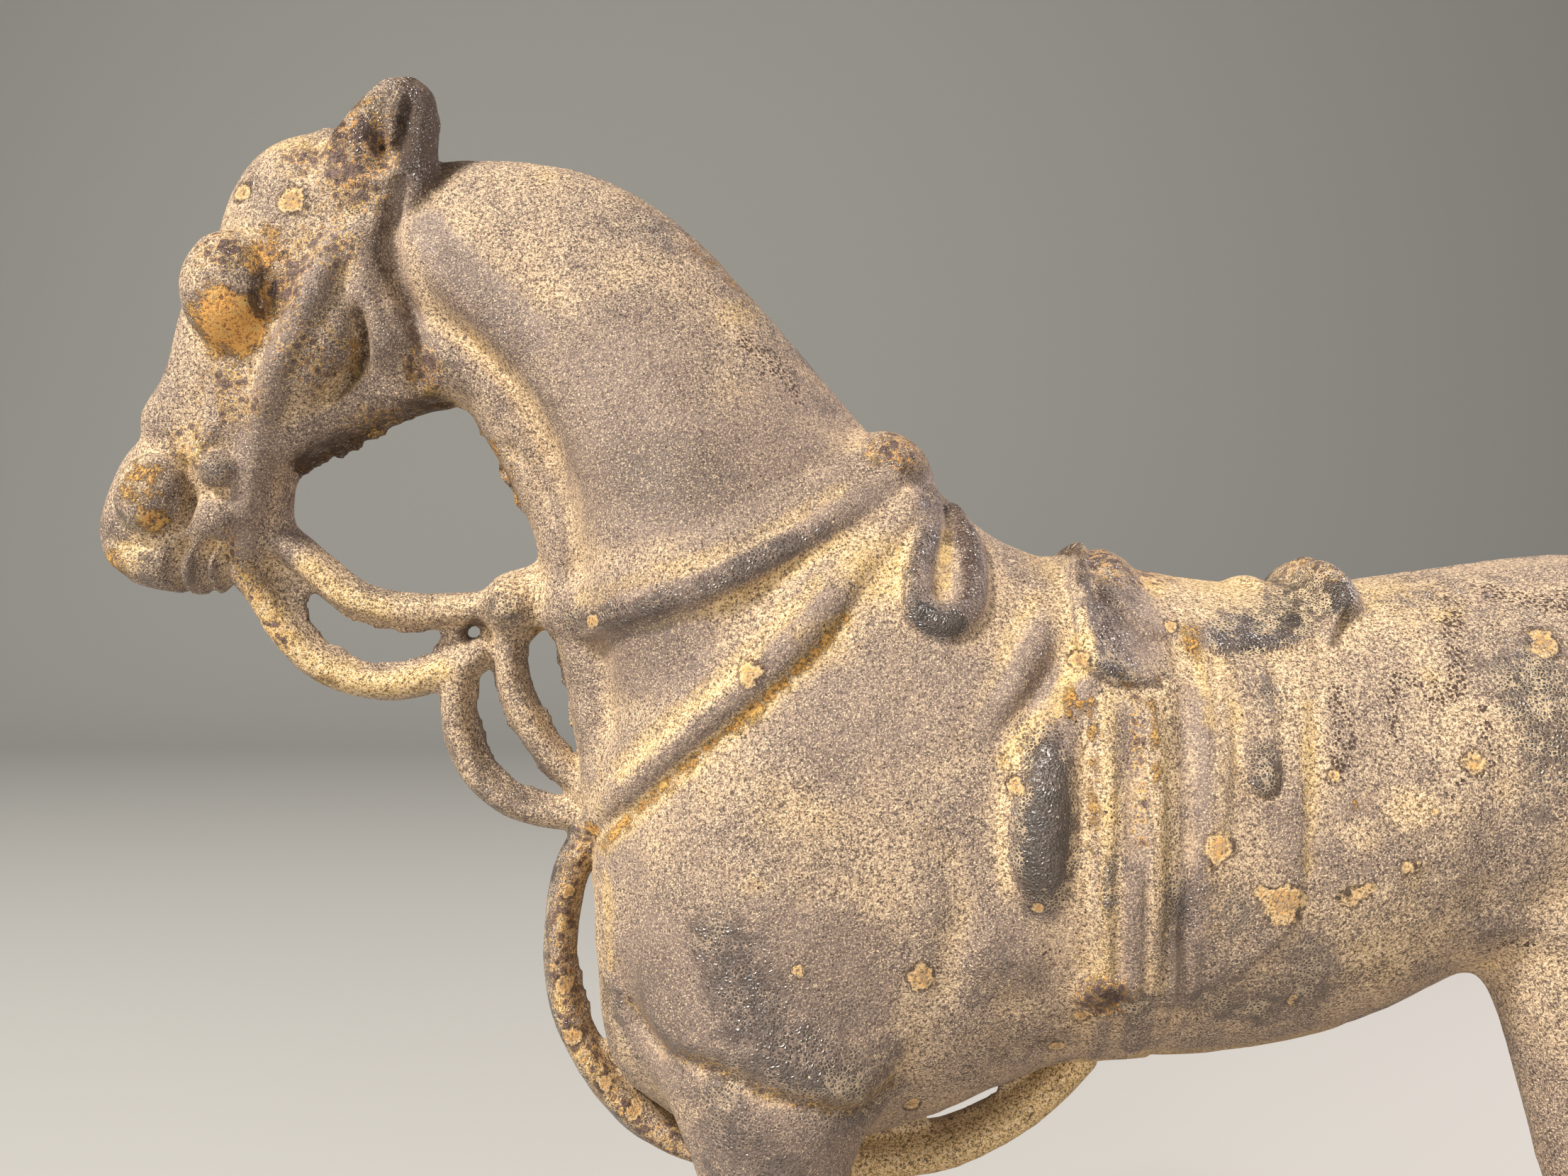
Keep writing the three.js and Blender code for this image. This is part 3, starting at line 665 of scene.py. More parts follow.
FLAP_RIM = [
    (14.6, 189.3, 1.2), (12.9, 186.8, 1.4), (11.6, 183.8, 1.5), (11.0, 179.6, 1.4),
    (10.9, 174.4, 1.5), (11.8, 172.6, 1.5), (14, 171.4, 1.3), (17.2, 170.7, 1.0),
    (19.4, 170.6, 0.6),
]
GIRTH_STRAP = [(15.2, 146), (15.2, 141), (15.6, 134), (16.5, 127), (18, 119)]
BUCKLE = [
    (9.9, 129.4), (12.6, 129.9), (15.4, 129.2), (15.7, 126.4), (12.8, 125.5), (10.0, 126.3),
    (9.9, 129.4),
]
WITHERS_KNOB = dict(place=(-14.8, -5.0, 201.8), radii=(6.4, 8.5, 4.6), lean=0.5)
WITHERS_KNOT = dict(place=(-18.8, -9.5, 200.4), radii=(2.6, 3.4, 3.4))
BUCKLE_TONGUE = (11.2, 128.4)
TONGUE_RADII = (2.3, 2.2, 2.1)
CHEEK_STRAP_RADIUS = 1.9
COLLAR_RADIUS = 2.6
COLLAR_BED_RADIUS = 2.8
GIRTH_STRAP_RADIUS = 1.5
BUCKLE_RADIUS = 1.15
NO_IRON_Y = -2.0


def side_skin():
    """How far out the near side's skin is at each place in the side view, or a little off the
    middle plane where there is no iron."""
    solid = iron < 0
    behind = np.argmax(solid, axis=1)
    i, k = np.indices(behind.shape)
    before = np.maximum(behind - 1, 0)
    outer, inner = iron[i, before, k], iron[i, behind, k]
    y = AXES[1][before] + SPACING * outer / (outer - inner + 1e-6)
    return np.where(solid.any(axis=1), y, NO_IRON_Y)


skin_y = side_skin()


def on_side(route, sunk=0.0):
    """A route [x, z] or [x, z, radius] as points on the near side, sunk into it by that much."""
    out = []
    for x, z, *radius in route:
        i, k = (round(x / SPACING) - first[0]), (round(z / SPACING) - first[2])
        y = float(skin_y[i - 1 : i + 2, k - 1 : k + 2].mean()) + sunk
        out.append((x, y, z, *radius))
    return out


def shifted(route, by_x, by_z):
    """A route moved in the side view, as [x, z]."""
    return [(place[0] + by_x, place[1] + by_z) for place in route]


cast(bar(on_side(CHEEK_STRAP, 0.9), CHEEK_STRAP_RADIUS), fillet=2.6, both_sides=True)
for collar in (UPPER_COLLAR, LOWER_COLLAR):
    # each collar lies on a broader swelling just above it
    bed = shifted(collar, -1.3, 2.2)
    cast(bar(on_side(bed, 2.3), COLLAR_BED_RADIUS), fillet=4.0, both_sides=True)
    cast(bar(on_side(collar, 0.1), COLLAR_RADIUS), fillet=1.0, both_sides=True)
cast(bar(on_side(WITHERS_LOOP, 0.4), LOOP_RADII), fillet=0.9, both_sides=True)
cast(lump(**WITHERS_KNOB), fillet=1.5, both_sides=True)
cast(lump(**WITHERS_KNOT), fillet=1.2, both_sides=True)
cast(bar(on_side(FLAP_RIM, 0.35), pace=1.0), fillet=0.7, both_sides=True)
cast(bar(on_side(KNEE_ROLL, 1.6)), fillet=1.6, both_sides=True)
cast(bar(on_side(GIRTH_STRAP, 0.4), GIRTH_STRAP_RADIUS), fillet=1.0, both_sides=True)
cast(bar(on_side(BUCKLE), BUCKLE_RADIUS), fillet=0.6, both_sides=True)
cast(lump(on_side([BUCKLE_TONGUE])[0], TONGUE_RADII), fillet=0.5, both_sides=True)

# Reins, martingale and breast strap: one lattice of round iron bars in the middle plane of the
# casting, with the boss where the reins meet the collar, a small hole beside it, and thin webs of
# iron left in the tight corners.
UPPER_REIN = [
    (-113, 195), (-109, 191), (-103.5, 186.5), (-98, 182), (-92, 180), (-85, 179.6), (-77, 180),
]
LOWER_REIN = [
    (-114.5, 190), (-113, 185), (-110.5, 180.5), (-107, 175.5), (-102.5, 171.5), (-97, 169),
    (-90, 168.6), (-83, 170.5),
]
REIN_LOOP = [
    (-78, 173), (-80.5, 171), (-81.5, 166), (-80.8, 160), (-78.5, 155), (-74.5, 151.2), (-69, 149),
    (-61, 148),
]
MARTINGALE = [(-73.5, 176), (-73, 169), (-70.5, 163), (-67, 157.5), (-59, 150)]
BREAST_STRAP = [
    (-61, 146), (-64.2, 139), (-65.4, 132), (-65.6, 125), (-64.4, 118), (-61.5, 111.5),
    (-57.8, 106), (-52.5, 101), (-44, 97), (-33, 95), (-20, 95), (-9, 96.4), (0, 99.6), (8, 104.8),
    (14.5, 111),
]
STRAP_RADII = [2.5] * 9 + [2.8, 3.0, 3.2, 3.3, 3.2, 3.0]
BAR_FLAT = (1, 1.8, 1)
WEB_FLAT = (1, 0.7, 1)
WEB_RADIUS = 2.0
REIN_BOSS = dict(place=(-72.5, 0, 180.5), radii=(5.0, 8.2, 5.0))
HOLE_X, HOLE_Z, HOLE_RADIUS, HOLE_STRETCH = -79.2, 176.4, 1.15, 1.3
HOLE_BLOCK = ((-83, -20, 172), (-75, 20, 181))
REIN_BARS = [
    (UPPER_REIN, 2.6), (LOWER_REIN, 2.6), (REIN_LOOP, 2.5), (MARTINGALE, 2.5),
    (BREAST_STRAP, STRAP_RADII),
]
for route, radius in REIN_BARS:
    cast(bar(in_middle(route), radius, BAR_FLAT), fillet=1.2)
REIN_WEBS = [
    [(-110, 0, 188), (-107.6, 0, 185), (-107.6, 0, 181.6)],
    [(-82, 0, 174.2), (-80, 0, 176.6), (-76.6, 0, 177)],
    [(-24, 0, 99.5), (-17, 0, 100), (-11, 0, 99.6)],
]
for web in REIN_WEBS:
    cast(bar(web, WEB_RADIUS, WEB_FLAT), fillet=1.4)
cast(lump(**REIN_BOSS), fillet=1.6)
hole_cut, hole_x, _, hole_z = block(*HOLE_BLOCK)
hole = HOLE_RADIUS - np.hypot((hole_x - HOLE_X) / HOLE_STRETCH, hole_z - HOLE_Z)
iron[hole_cut] = np.maximum(iron[hole_cut], np.broadcast_to(hole, iron[hole_cut].shape))

# Casting skin: sand grain, soft unevenness, and the ragged flash that was never filed off where
# the two halves of the mould met, on the middle plane round the reins, jaw and throat.
SAND_GRAIN = [(0.22, 13.0), (0.13, 4.5), (0.09, 2.0)]
FLASH_THICKNESS = 2.0
FLASH_WIDTH = 1.3
FLASH_LENGTH = 5.0
FLASH_FILLET = 0.6
FLASH_RAGS = [(0.5, 2.4), (0.35, 1.1)]
# flash is as wide as it gets up to the first distance from its route, and gone at the second
FLASH_NEAR, FLASH_GONE = 2.0, 6.0
FLASH_ROWS = 4
dice = np.random.default_rng(11)


def cloudy(shape_cut, wavelength):
    """Smooth random field over part of the mould, about -1 to 1."""
    knots, weights = [], []
    for axis in range(3):
        places = AXES[axis][shape_cut[axis]] / wavelength
        places = places - places.min()
        base = np.floor(places).astype(int)
        part = ramp(places - base, 0, 1)
        matrix = np.zeros((len(places), base.max() + 2), np.float32)
        matrix[np.arange(len(places)), base] = 1 - part
        matrix[np.arange(len(places)), base + 1] = part
        weights.append(matrix)
        knots.append(matrix.shape[1])
    out = dice.uniform(-1, 1, knots).astype(np.float32)
    for axis in range(3):
        out = np.moveaxis(np.tensordot(weights[axis], out, axes=(1, axis)), 0, axis)
    return out


everything = (slice(None),) * 3
for grain_height, grain_size in SAND_GRAIN:
    iron += grain_height * cloudy(everything, grain_size)

middle = -first[1]
flash_cut = (slice(None), slice(middle - FLASH_ROWS, middle + FLASH_ROWS + 1), slice(None))
flat_gap = iron[:, middle : middle + 1, :]
FLASH_ROUTES = [
    [(-76.2, 205), (-74.6, 201.5), (-73.4, 198)],
    [(-103.5, 201.5), (-98, 206), (-92, 209), (-85, 212)],
    [(-107, 180), (-103, 175), (-98, 173.5), (-90, 173)],
    [(-98, 178), (-92, 176), (-84, 176)],
    [(-76, 170), (-76.5, 163), (-74.5, 156), (-70, 154)],
    [(-71, 176), (-66, 170), (-64, 160), (-66, 156)],
    [(-59.5, 122), (-58.5, 118), (-57, 114)],
    [(-12, 105), (0, 107), (8, 113)],
]
flash_reach = np.zeros(relief.shape, np.float32)
for route in FLASH_ROUTES:
    flash_reach = np.maximum(flash_reach, 1 - ramp(gap_to(route)[0], FLASH_NEAR, FLASH_GONE))
centre = slice(FLASH_ROWS, FLASH_ROWS + 1)
ragged = 0.5
for rag_height, rag_size in FLASH_RAGS:
    ragged = ragged + rag_height * cloudy(flash_cut, rag_size)[:, centre, :]
flash_width = flash_reach[:, None, :] * np.clip(ragged, 0, 2) * FLASH_WIDTH
# only flash that grows out of the iron is kept, one place further with each round
joined = flat_gap[:, 0, :] < 0
ragged_part = flash_width[:, 0, :] > flat_gap[:, 0, :]
for _ in range(round(FLASH_LENGTH / SPACING)):
    grown = joined.copy()
    grown[1:] |= joined[:-1]
    grown[:-1] |= joined[1:]
    grown[:, 1:] |= joined[:, :-1]
    grown[:, :-1] |= joined[:, 1:]
    joined = grown & (joined | ragged_part)
flash_width *= joined[:, None, :]
flash_y = AXES[1][flash_cut[1]][None, :, None]
flash = np.maximum(np.abs(flash_y) - FLASH_THICKNESS / 2, flat_gap - flash_width)
iron[flash_cut] = weld(iron[flash_cut], flash.astype(np.float32), FLASH_FILLET)

# Skin of the casting: the finished field turned into one closed mesh, in metres, and thinned where
# it is flat. It stands for the whole iron horse with all its tack.
MOST_TRIANGLES = 196000

skin = openvdb.FloatGrid(BAND)
skin.copyFromArray(iron, ijk=first)
skin.transform = mould
corners, triangles, quads = skin.convertToPolygons(isovalue=0.0, adaptivity=0.0)
rough_mesh = bpy.data.meshes.new("rough_casting")
rough_mesh.from_pydata((corners * 0.001).tolist(), [], triangles.tolist() + quads.tolist())
horse = bpy.data.objects.new("horse_casting", rough_mesh)
scene.collection.objects.link(horse)
thinned = horse.modifiers.new("thinned", "DECIMATE")
thinned.ratio = MOST_TRIANGLES / (len(triangles) + 2 * len(quads))
seen = horse.evaluated_get(bpy.context.evaluated_depsgraph_get())
mesh = bpy.data.meshes.new_from_object(seen)
horse.modifiers.remove(thinned)
horse.data = mesh
bpy.data.meshes.remove(rough_mesh)
mesh.name = "horse_casting"
mesh.shade_smooth()
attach(horse, "root")
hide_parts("horse")

# Weathering of the casting, kept as numbers at each point of its skin: how hollow the place is,
# finely and broadly, and where years of handling and damp have rubbed, rusted or chipped it. Some
# of the marks are painted light: shade in creases and recesses, and highlights along raised edges.
FINE_REACH = 1.3
WIDE_REACH = 3.4
# a mark is at full strength out to this share of its width, and gone at its edge
STREAK_CORE = 0.35
PATCH_CORE, PATCH_EDGE = 0.25, 1.3
NO_FLAKE = 9.0
spots = np.empty(3 * len(mesh.vertices), np.float32)
mesh.vertices.foreach_get("co", spots)
spots = spots.reshape(-1, 3) * 1000
# 1 on the horse's left and 0 on its right
near_side = ramp(-spots[:, 1], -3.0, 1.0)
spot_x, spot_z = spots[:, 0], spots[:, 2]


def averaged(field, reach):
    """A field with each value averaged over a box that reaches that many places each way."""
    for axis in range(3):
        pads = [(0, 0)] * 3
        pads[axis] = (reach + 1, reach)
        total = np.cumsum(np.pad(field, pads, mode="edge"), axis=axis, dtype=np.float32)
        ends = np.arange(2 * reach + 1, total.shape[axis])
        field = np.take(total, ends, axis=axis) - np.take(total, ends - 2 * reach - 1, axis=axis)
        field /= 2 * reach + 1
    return field


def at_spots(field):
    """A field's values at the mesh's points."""
    place = spots / SPACING - np.array(first)
    base = np.clip(np.floor(place).astype(int), 0, np.array(size) - 2)
    part = place - base
    value = np.zeros(len(spots), np.float32)
    for corner in np.ndindex(2, 2, 2):
        weight = np.prod(np.where(corner, part, 1 - part), axis=1)
        i, j, k = (base + corner).T
        value += weight * field[i, j, k]
    return value


def record_wear(name, values, mesh=mesh):
    """Keeps one number for each point of a mesh under a name that the finish reads."""
    layer = mesh.attributes.new(name, "FLOAT", "POINT")
    layer.data.foreach_set("value", np.ascontiguousarray(values, np.float32))


def streaks(marks, far_part=1.0):
    """Strength of marks drawn along routes, each a route, a half width and a strength."""
    total = np.zeros(len(spots), np.float32)
    for route, width, strength in marks:
        gap = gap_to(route, spot_x, spot_z)[0]
        total = np.maximum(total, strength * (1 - ramp(gap, width * STREAK_CORE, width)))
    return total * (near_side + far_part * (1 - near_side))


def patches(marks, far_part=1.0):
    """Strength of egg-shaped marks, each x, z, its radii and a strength."""
    total = np.zeros(len(spots), np.float32)
    for x, z, radius_x, radius_z, strength in marks:
        gap = np.hypot((spot_x - x) / radius_x, (spot_z - z) / radius_z)
        total = np.maximum(total, strength * (1 - ramp(gap, PATCH_CORE, PATCH_EDGE)))
    return total * (near_side + far_part * (1 - near_side))


def marked(streak_marks, patch_marks, far_streaks, far_patches):
    """Streaks and patches together, each at a share of its strength on the far side."""
    return np.maximum(streaks(streak_marks, far_streaks), patches(patch_marks, far_patches))


close = averaged(iron, round(FINE_REACH / SPACING))
wide = averaged(close, round(WIDE_REACH / SPACING))
record_wear("hollow", at_spots(iron - close))
record_wear("recess", at_spots(iron - wide))
# In these tables a streak is (route, half width, strength) and a patch is (x, z, its two radii,
# strength), both drawn in the side view. First, where dust is rubbed off and dark paint shows.
BARE_STREAKS = [
    ([(31.5, 176.2), (35, 176.9), (40, 178.8), (45.2, 181.4), (49.4, 183.2)], 4.6, 1.2),
    (ELBOW_FOLD[2:8], 4.5, 0.55), ([(10.6, 130), (17, 127)], 3.0, 0.7),
    (shifted(WITHERS_LOOP[5:8], 0, -0.4), 2.8, 1.4), (WITHERS_LOOP[1:6], 2.8, 0.8),
    (WITHERS_LOOP[8:], 3.0, 0.5), (shifted(FLAP_RIM[1:6], 3.0, 0), 3.8, 0.9),
    (shifted(FLAP_RIM[0:3], 0, 0), 1.4, 0.8),
    ([(-62, 178.4), (-54, 179.6), (-47, 181.8)], 2.6, 0.6),
    ([(-49, 181.2), (-36, 186.4), (-26, 191)], 2.8, 0.5),
    (shifted(BREAST_STRAP[:8], -2.2, 0), 1.7, 0.8),
    ([(-53, 242), (-43, 234.5), (-36, 227.5), (-27, 217), (-20, 208)], 6.0, 0.4),
    ([(-84, 233.5), (-78, 226.5), (-69, 217.5)], 4.6, 0.1),
    ([(22.6, 172), (21.8, 160), (21.6, 140)], 2.8, 0.35),
    ([(6.0, 177.6), (4.0, 174), (1.4, 169.6)], 1.8, 0.25), ([(-46, 172), (-36, 181)], 3.4, 0.2),
    ([(13.1, 146), (13.2, 131)], 3.0, 0.6), ([(24.6, 140), (24.2, 122)], 2.4, 0.3),
]
BARE_PATCHES = [
    (4.0, 151.8, 5.0, 14.5, 1.5), (50.5, 182.5, 4.4, 6, 0.8), (33.0, 159.6, 3.4, 6.5, 0.8),
    (35, 170, 4, 5, 0.75), (25, 142.6, 9, 6, 0.7), (35, 127, 14, 6, 0.6), (72, 166, 7, 13, 0.8),
    (-37.5, 129, 10, 12, 0.8), (-31, 126, 12, 11, 0.62), (-31, 118.5, 16, 7, 0.8),
    (16.8, 186.6, 3.4, 5, 0.7), (-14.8, 203, 7, 4.4, 0.25), (13.6, 177, 2.2, 7, 0.9),
    (18, 184.5, 5, 4, 0.6), (-37, 104, 9, 14, 0.84), (50, 184.5, 4, 4, 0.6), (-72, 181, 4, 4, 0.2),
    (-112.5, 243.5, 5, 7, 0.35), (-1.0, 132.3, 1.8, 1.5, 0.9), (7.7, 123.6, 2.2, 1.6, 0.8),
    (-94, 251, 5, 8, 0.55), (-86, 252, 3.4, 9, 0.6), (48, 182.4, 5.5, 4.0, 1.25),
    (-113.5, 229.5, 6, 6, 0.15), (62, 181, 20, 7, 0.5), (44, 134, 32, 12, 0.35),
    (-34, 108, 9, 12, 0.3), (17, 177.5, 4, 5, 0.3), (-50, 237, 5, 4, 0.3), (-57, 125, 5, 10, 0.25),
    (-47, 175, 5, 5, 0.2), (-129, 190, 6, 6, 0.3), (-115.5, 200.5, 3, 3, 0.2),
    (20, 160, 7, 12, 0.1), (88, 115, 9, 14, 0.3),
]
record_wear("bare", marked(BARE_STREAKS, BARE_PATCHES, 0.7, 0.6))
# ochre dust in the creases
OCHRE_STREAKS = [
    (shifted(LOWER_COLLAR[:5], 1.9, -2.7), 2.4, 0.7),
    (shifted(LOWER_COLLAR[1:5], -1.8, 2.8), 2.2, 0.5),
    (shifted(UPPER_COLLAR[1:6], 0, 3.6), 2.4, 0.45),
    (shifted(UPPER_COLLAR[2:6], 0, -3.4), 2.0, 0.5),
    ([(12.8, 168), (12.1, 155), (11.9, 140), (12.6, 126)], 2.0, 0.45),
    ([(19.4, 168), (18.5, 155), (18.4, 130)], 2.0, 0.35), ([(26.8, 174), (26.3, 165)], 1.6, 0.7),
    ([(30, 173), (28.4, 162), (26.4, 150), (25.6, 138)], 2.8, 0.4),
    ([(10.6, 176), (9, 171.4), (6.5, 167.6), (3.2, 164.2), (-1, 160)], 2.0, 0.85),
    ([(5, 182), (0.6, 175.6), (-5, 168)], 2.0, 0.4),
    ([(40.6, 167), (39.2, 158), (38.4, 146)], 1.6, 0.6), ([(-7.6, 191), (-8.4, 184)], 1.6, 0.9),
    (LOWER_REIN[1:], 2.6, 0.6), (UPPER_REIN[2:5], 2.2, 0.5),
    ([(-84, 212), (-79, 206), (-75, 197), (-73, 190)], 2.6, 0.7),
    ([(-56.8, 142), (-56, 128)], 1.4, 0.6), ([(-62, 112), (-58, 106)], 3.0, 0.5),
    ([(20, 114.5), (34, 115.5), (48, 119)], 3.0, 0.5), (BREAST_STRAP[9:], 5.0, 0.6),
]
OCHRE_PATCHES = [
    (-112.6, 221.6, 5.4, 3.6, 1.1), (-65.2, 120, 1.2, 3, 1.0), (-63, 112.6, 1.6, 3, 1.0),
    (-64.6, 133, 1.0, 2.6, 0.9), (23.2, 183.3, 2.4, 2, 0.7), (25.6, 176.6, 1.8, 3, 0.7),
    (-58.2, 104.6, 2, 2, 0.8), (45, 187, 2, 1.2, 0.8), (-18, 186, 8, 6, 0.7),
    (-37, 224.6, 4.5, 3, 0.6), (-106, 250.5, 7, 3, 0.6), (-26, 176, 8, 6, 0.45),
    (-92.5, 253.5, 3, 3, 0.4), (60, 182, 9, 4, 0.5), (-119, 204.5, 3, 3, 0.7),
    (-130, 188, 5, 4, 0.5), (7, 187, 4, 4, 0.4), (-41, 147, 4, 3, 0.3), (-30, 152, 10, 8, 0.25),
    (53, 145, 3, 3, 0.4), (-99, 170, 4, 3, 0.7), (36, 184, 8, 3, 0.4),
]
record_wear("ochre", marked(OCHRE_STREAKS, OCHRE_PATCHES, 0.6, 0.4))
# fresh orange rust
ORANGE_STREAKS = [
    ([(-104.6, 201.2), (-98, 204.2), (-91, 207.6), (-84, 210.4)], 2.4, 0.6),
    ([(-75.4, 205), (-73.6, 199), (-72, 192)], 1.6, 0.5),
    (shifted(LOWER_COLLAR[:5], 1.9, -2.4), 1.0, 0.6),
    ([(13, 171.2), (17, 170.3), (20, 170.4)], 1.3, 0.25),
    ([(10.6, 170), (10.2, 160), (10, 148)], 1.1, 0.28), ([(18.9, 168), (18.2, 156)], 0.9, 0.3),
    ([(-97, 250.6), (-93.4, 254.6)], 1.4, 0.4),
    ([(-108, 232), (-106.6, 229), (-107.2, 225)], 1.3, 0.7),
    ([(-93.8, 221), (-95.6, 215)], 1.2, 0.5), ([(-44, 236), (-35, 227)], 3.0, 0.3),
]
ORANGE_PATCHES = [
    (-107.6, 230.6, 2.6, 4, 0.8), (-111.8, 222.0, 6.4, 5.6, 1.25), (-107.0, 232.6, 3, 4.4, 0.7),
    (-125.6, 199, 4.4, 4, 0.5), (-124.6, 193.5, 2.4, 2.4, 0.7), (-132, 187, 3, 2.4, 0.5),
    (15.6, 171.2, 2.6, 1.1, 0.5), (8.2, 167.5, 1.5, 2.2, 0.7), (-59.5, 147.4, 1.6, 1.3, 0.9),
    (26.4, 176, 1.6, 3, 0.6), (-88.4, 251, 1.4, 3, 0.4), (-101.8, 168.5, 3, 2, 0.4),
    (-68.6, 176.2, 1.6, 1.6, 0.6), (45.4, 154.4, 0.9, 2.2, 0.5), (-86.6, 215.4, 1.4, 2.4, 0.5),
    (12.2, 128.8, 1.6, 1.6, 0.5), (-107.2, 233, 3, 2.4, 0.8),
]
record_wear("orange", marked(ORANGE_STREAKS, ORANGE_PATCHES, 0.4, 0.3))
# smooth mauve-grey dust, and pale sandy dust where it is taken away again; some of the grey is
# painted shade, and some of the pale is painted highlight and painted light
GREY_STREAKS = [
    ([(-86, 246), (-89.2, 238), (-88.4, 230), (-84, 216)], 2.6, 1.0), (CHEEK_STRAP, 3.4, 0.9),
    (UPPER_COLLAR[1:7], 2.8, 0.8), (LOWER_COLLAR[1:5], 2.8, 0.7),
    ([(-84, 237), (-80, 231.5), (-74, 226), (-68, 219.5)], 4.4, 1.2), (REIN_LOOP, 3.2, 0.5),
    (WITHERS_LOOP, 3.4, 0.9), (BREAST_STRAP[:10], 3.0, 0.5),
    ([(24.5, 168), (23, 150), (23, 128)], 3.4, 0.8), ([(4.6, 176), (-3.6, 163.5)], 3.0, 0.8),
    ([(9.6, 169), (5, 162)], 3.0, 0.8), ([(15.6, 166), (15.4, 132)], 2.4, 0.7),
]
# grey patches: dust, and painted shade below the upper collar
GREY_DUST_AND_SHADE_PATCHES = [
    (-7.8, 185.4, 2.2, 5, 0.9), (-30, 205, 16, 14, 0.6), (-40, 150, 12, 12, 0.3),
    (-50, 176, 11, 9, 1.3), (-48, 126, 8, 14, 1.4), (3.6, 172, 4, 7, 1.3), (-55, 145, 6, 6, 0.5),
    (-53.5, 213.6, 15, 14, 0.7), (-46.9, 199.4, 18, 11, 1.5), (-20, 165, 18, 14, 0.5),
    (-9.8, 170.9, 12, 10, 0.5), (-31, 128, 16, 15, 1.1),
    (17.5, 178.5, 6, 8, 1.2), (48.8, 167, 12, 14, 0.5), (42, 152, 14, 10, 0.5),
    (67, 175, 12, 10, 0.4), (-92, 224, 6, 13, 0.35), (-118, 212, 6, 10, 0.3),
    (-33, 98, 14, 20, 1.2), (-76, 226, 9, 5, 0.6), (29, 160, 9, 14, 0.35), (2, 135, 10, 8, 0.6),
    (-62, 190, 5, 10, 0.3), (-110, 205, 5, 9, 0.6),
]
# pale streaks: sandy dust, and painted highlights along the flap's bead, the left of the withers
# loop, the top of the lower collar, the martingale, the rein loop and the left of the knee roll
PALE_DUST_AND_HIGHLIGHT_STREAKS = [
    (shifted(FLAP_RIM[3:6], -0.3, 0), 1.2, 1.3), (shifted(WITHERS_LOOP[2:6], -2.0, 0), 1.4, 0.8),
    (shifted(BREAST_STRAP[:9], 0.8, 0), 1.6, 0.9), (REIN_LOOP, 3.6, 0.9),
    (LOWER_REIN[2:], 3.6, 0.9), (UPPER_REIN[2:], 3.6, 0.8), (MARTINGALE, 3.4, 0.5),
    (BREAST_STRAP[8:], 5.0, 1.0), ([(21.6, 169.4), (20.5, 160), (19.9, 150), (20, 138)], 1.7, 0.8),
    ([(11.5, 168), (11.3, 130)], 1.6, 0.35), (shifted(LOWER_COLLAR[1:4], -1.0, 1.4), 1.5, 1.1),
    ([(0.8, 160), (-1.2, 155), (-1.8, 149), (-1.2, 143)], 1.4, 0.7),
    ([(-60.5, 142), (-58.5, 126), (-54, 114)], 2.2, 0.8),
]
# pale patches: sandy dust, and painted light on the shaded belly and a painted sheen on the top of
# the eye
PALE_DUST_AND_LIGHT_PATCHES = [
    (86, 130, 16, 18, 0.8), (50, 137, 10, 7, 0.6), (-34, 154, 10, 8, 0.3), (45, 187, 6, 3, 0.6),
    (33, 183.4, 8, 3, 1.1), (39, 184.4, 5, 2.6, 1.2), (52.5, 154, 4, 3.4, 1.6),
    (46, 150, 3.4, 3, 1.2), (-61, 136, 4, 5, 0.4), (33, 180.4, 7, 3, 0.8), (49.5, 131.5, 6, 5, 0.9),
    (-116, 230, 4, 4, 0.8), (-127, 199, 4, 5, 0.8), (-72.5, 182, 5, 5, 1.2), (-66, 114, 5, 10, 0.8),
    (-72, 181.5, 7, 6, 0.9), (60, 168, 22, 16, 0.5), (84, 150, 16, 14, 0.6), (-113, 231, 6, 4, 0.5),
    (-92, 180, 12, 4, 0.8), (-120, 212, 5, 9, 0.3), (-128, 190, 6, 5, 0.6), (-59, 180, 4, 3, 0.5),
    (40, 165, 4, 14, 0.7),
]
# pale marks lower the grey, turning the crust tan and sandy: dust, and partly painted highlights
# and light
pale = marked(PALE_DUST_AND_HIGHLIGHT_STREAKS, PALE_DUST_AND_LIGHT_PATCHES, 0.7, 0.6)
record_wear("grey", marked(GREY_STREAKS, GREY_DUST_AND_SHADE_PATCHES, 0.7, 0.6) - pale)
# rows of small dark pits
PIT_STREAKS = [
    ([(45.1, 168.7), (44.4, 163), (43, 157.1)], 2.2, 1.1),
    ([(53.9, 172.6), (52, 167), (51.3, 162.5)], 1.1, 1.0),
    ([(65, 181), (62.8, 175), (61, 169.8), (58, 168.6), (56.2, 170.4)], 2.2, 1.1),
    ([(63.6, 167.4), (63.9, 163), (64.2, 158)], 1.4, 1.0),
    ([(58.4, 155.4), (60.5, 158.4), (64, 158)], 1.3, 1.0),
    ([(-36.6, 219.4), (-33.4, 217.4), (-30.6, 215)], 2.4, 1.1),
    ([(-34.8, 215.6), (-31, 214.4), (-28.8, 211)], 1.6, 1.0),
    ([(70, 183), (78, 181), (84, 183)], 2.2, 1.0), ([(66, 133), (69, 134.4), (72, 134)], 1.4, 1.0),
]
record_wear("pits", streaks(PIT_STREAKS, 0.5))
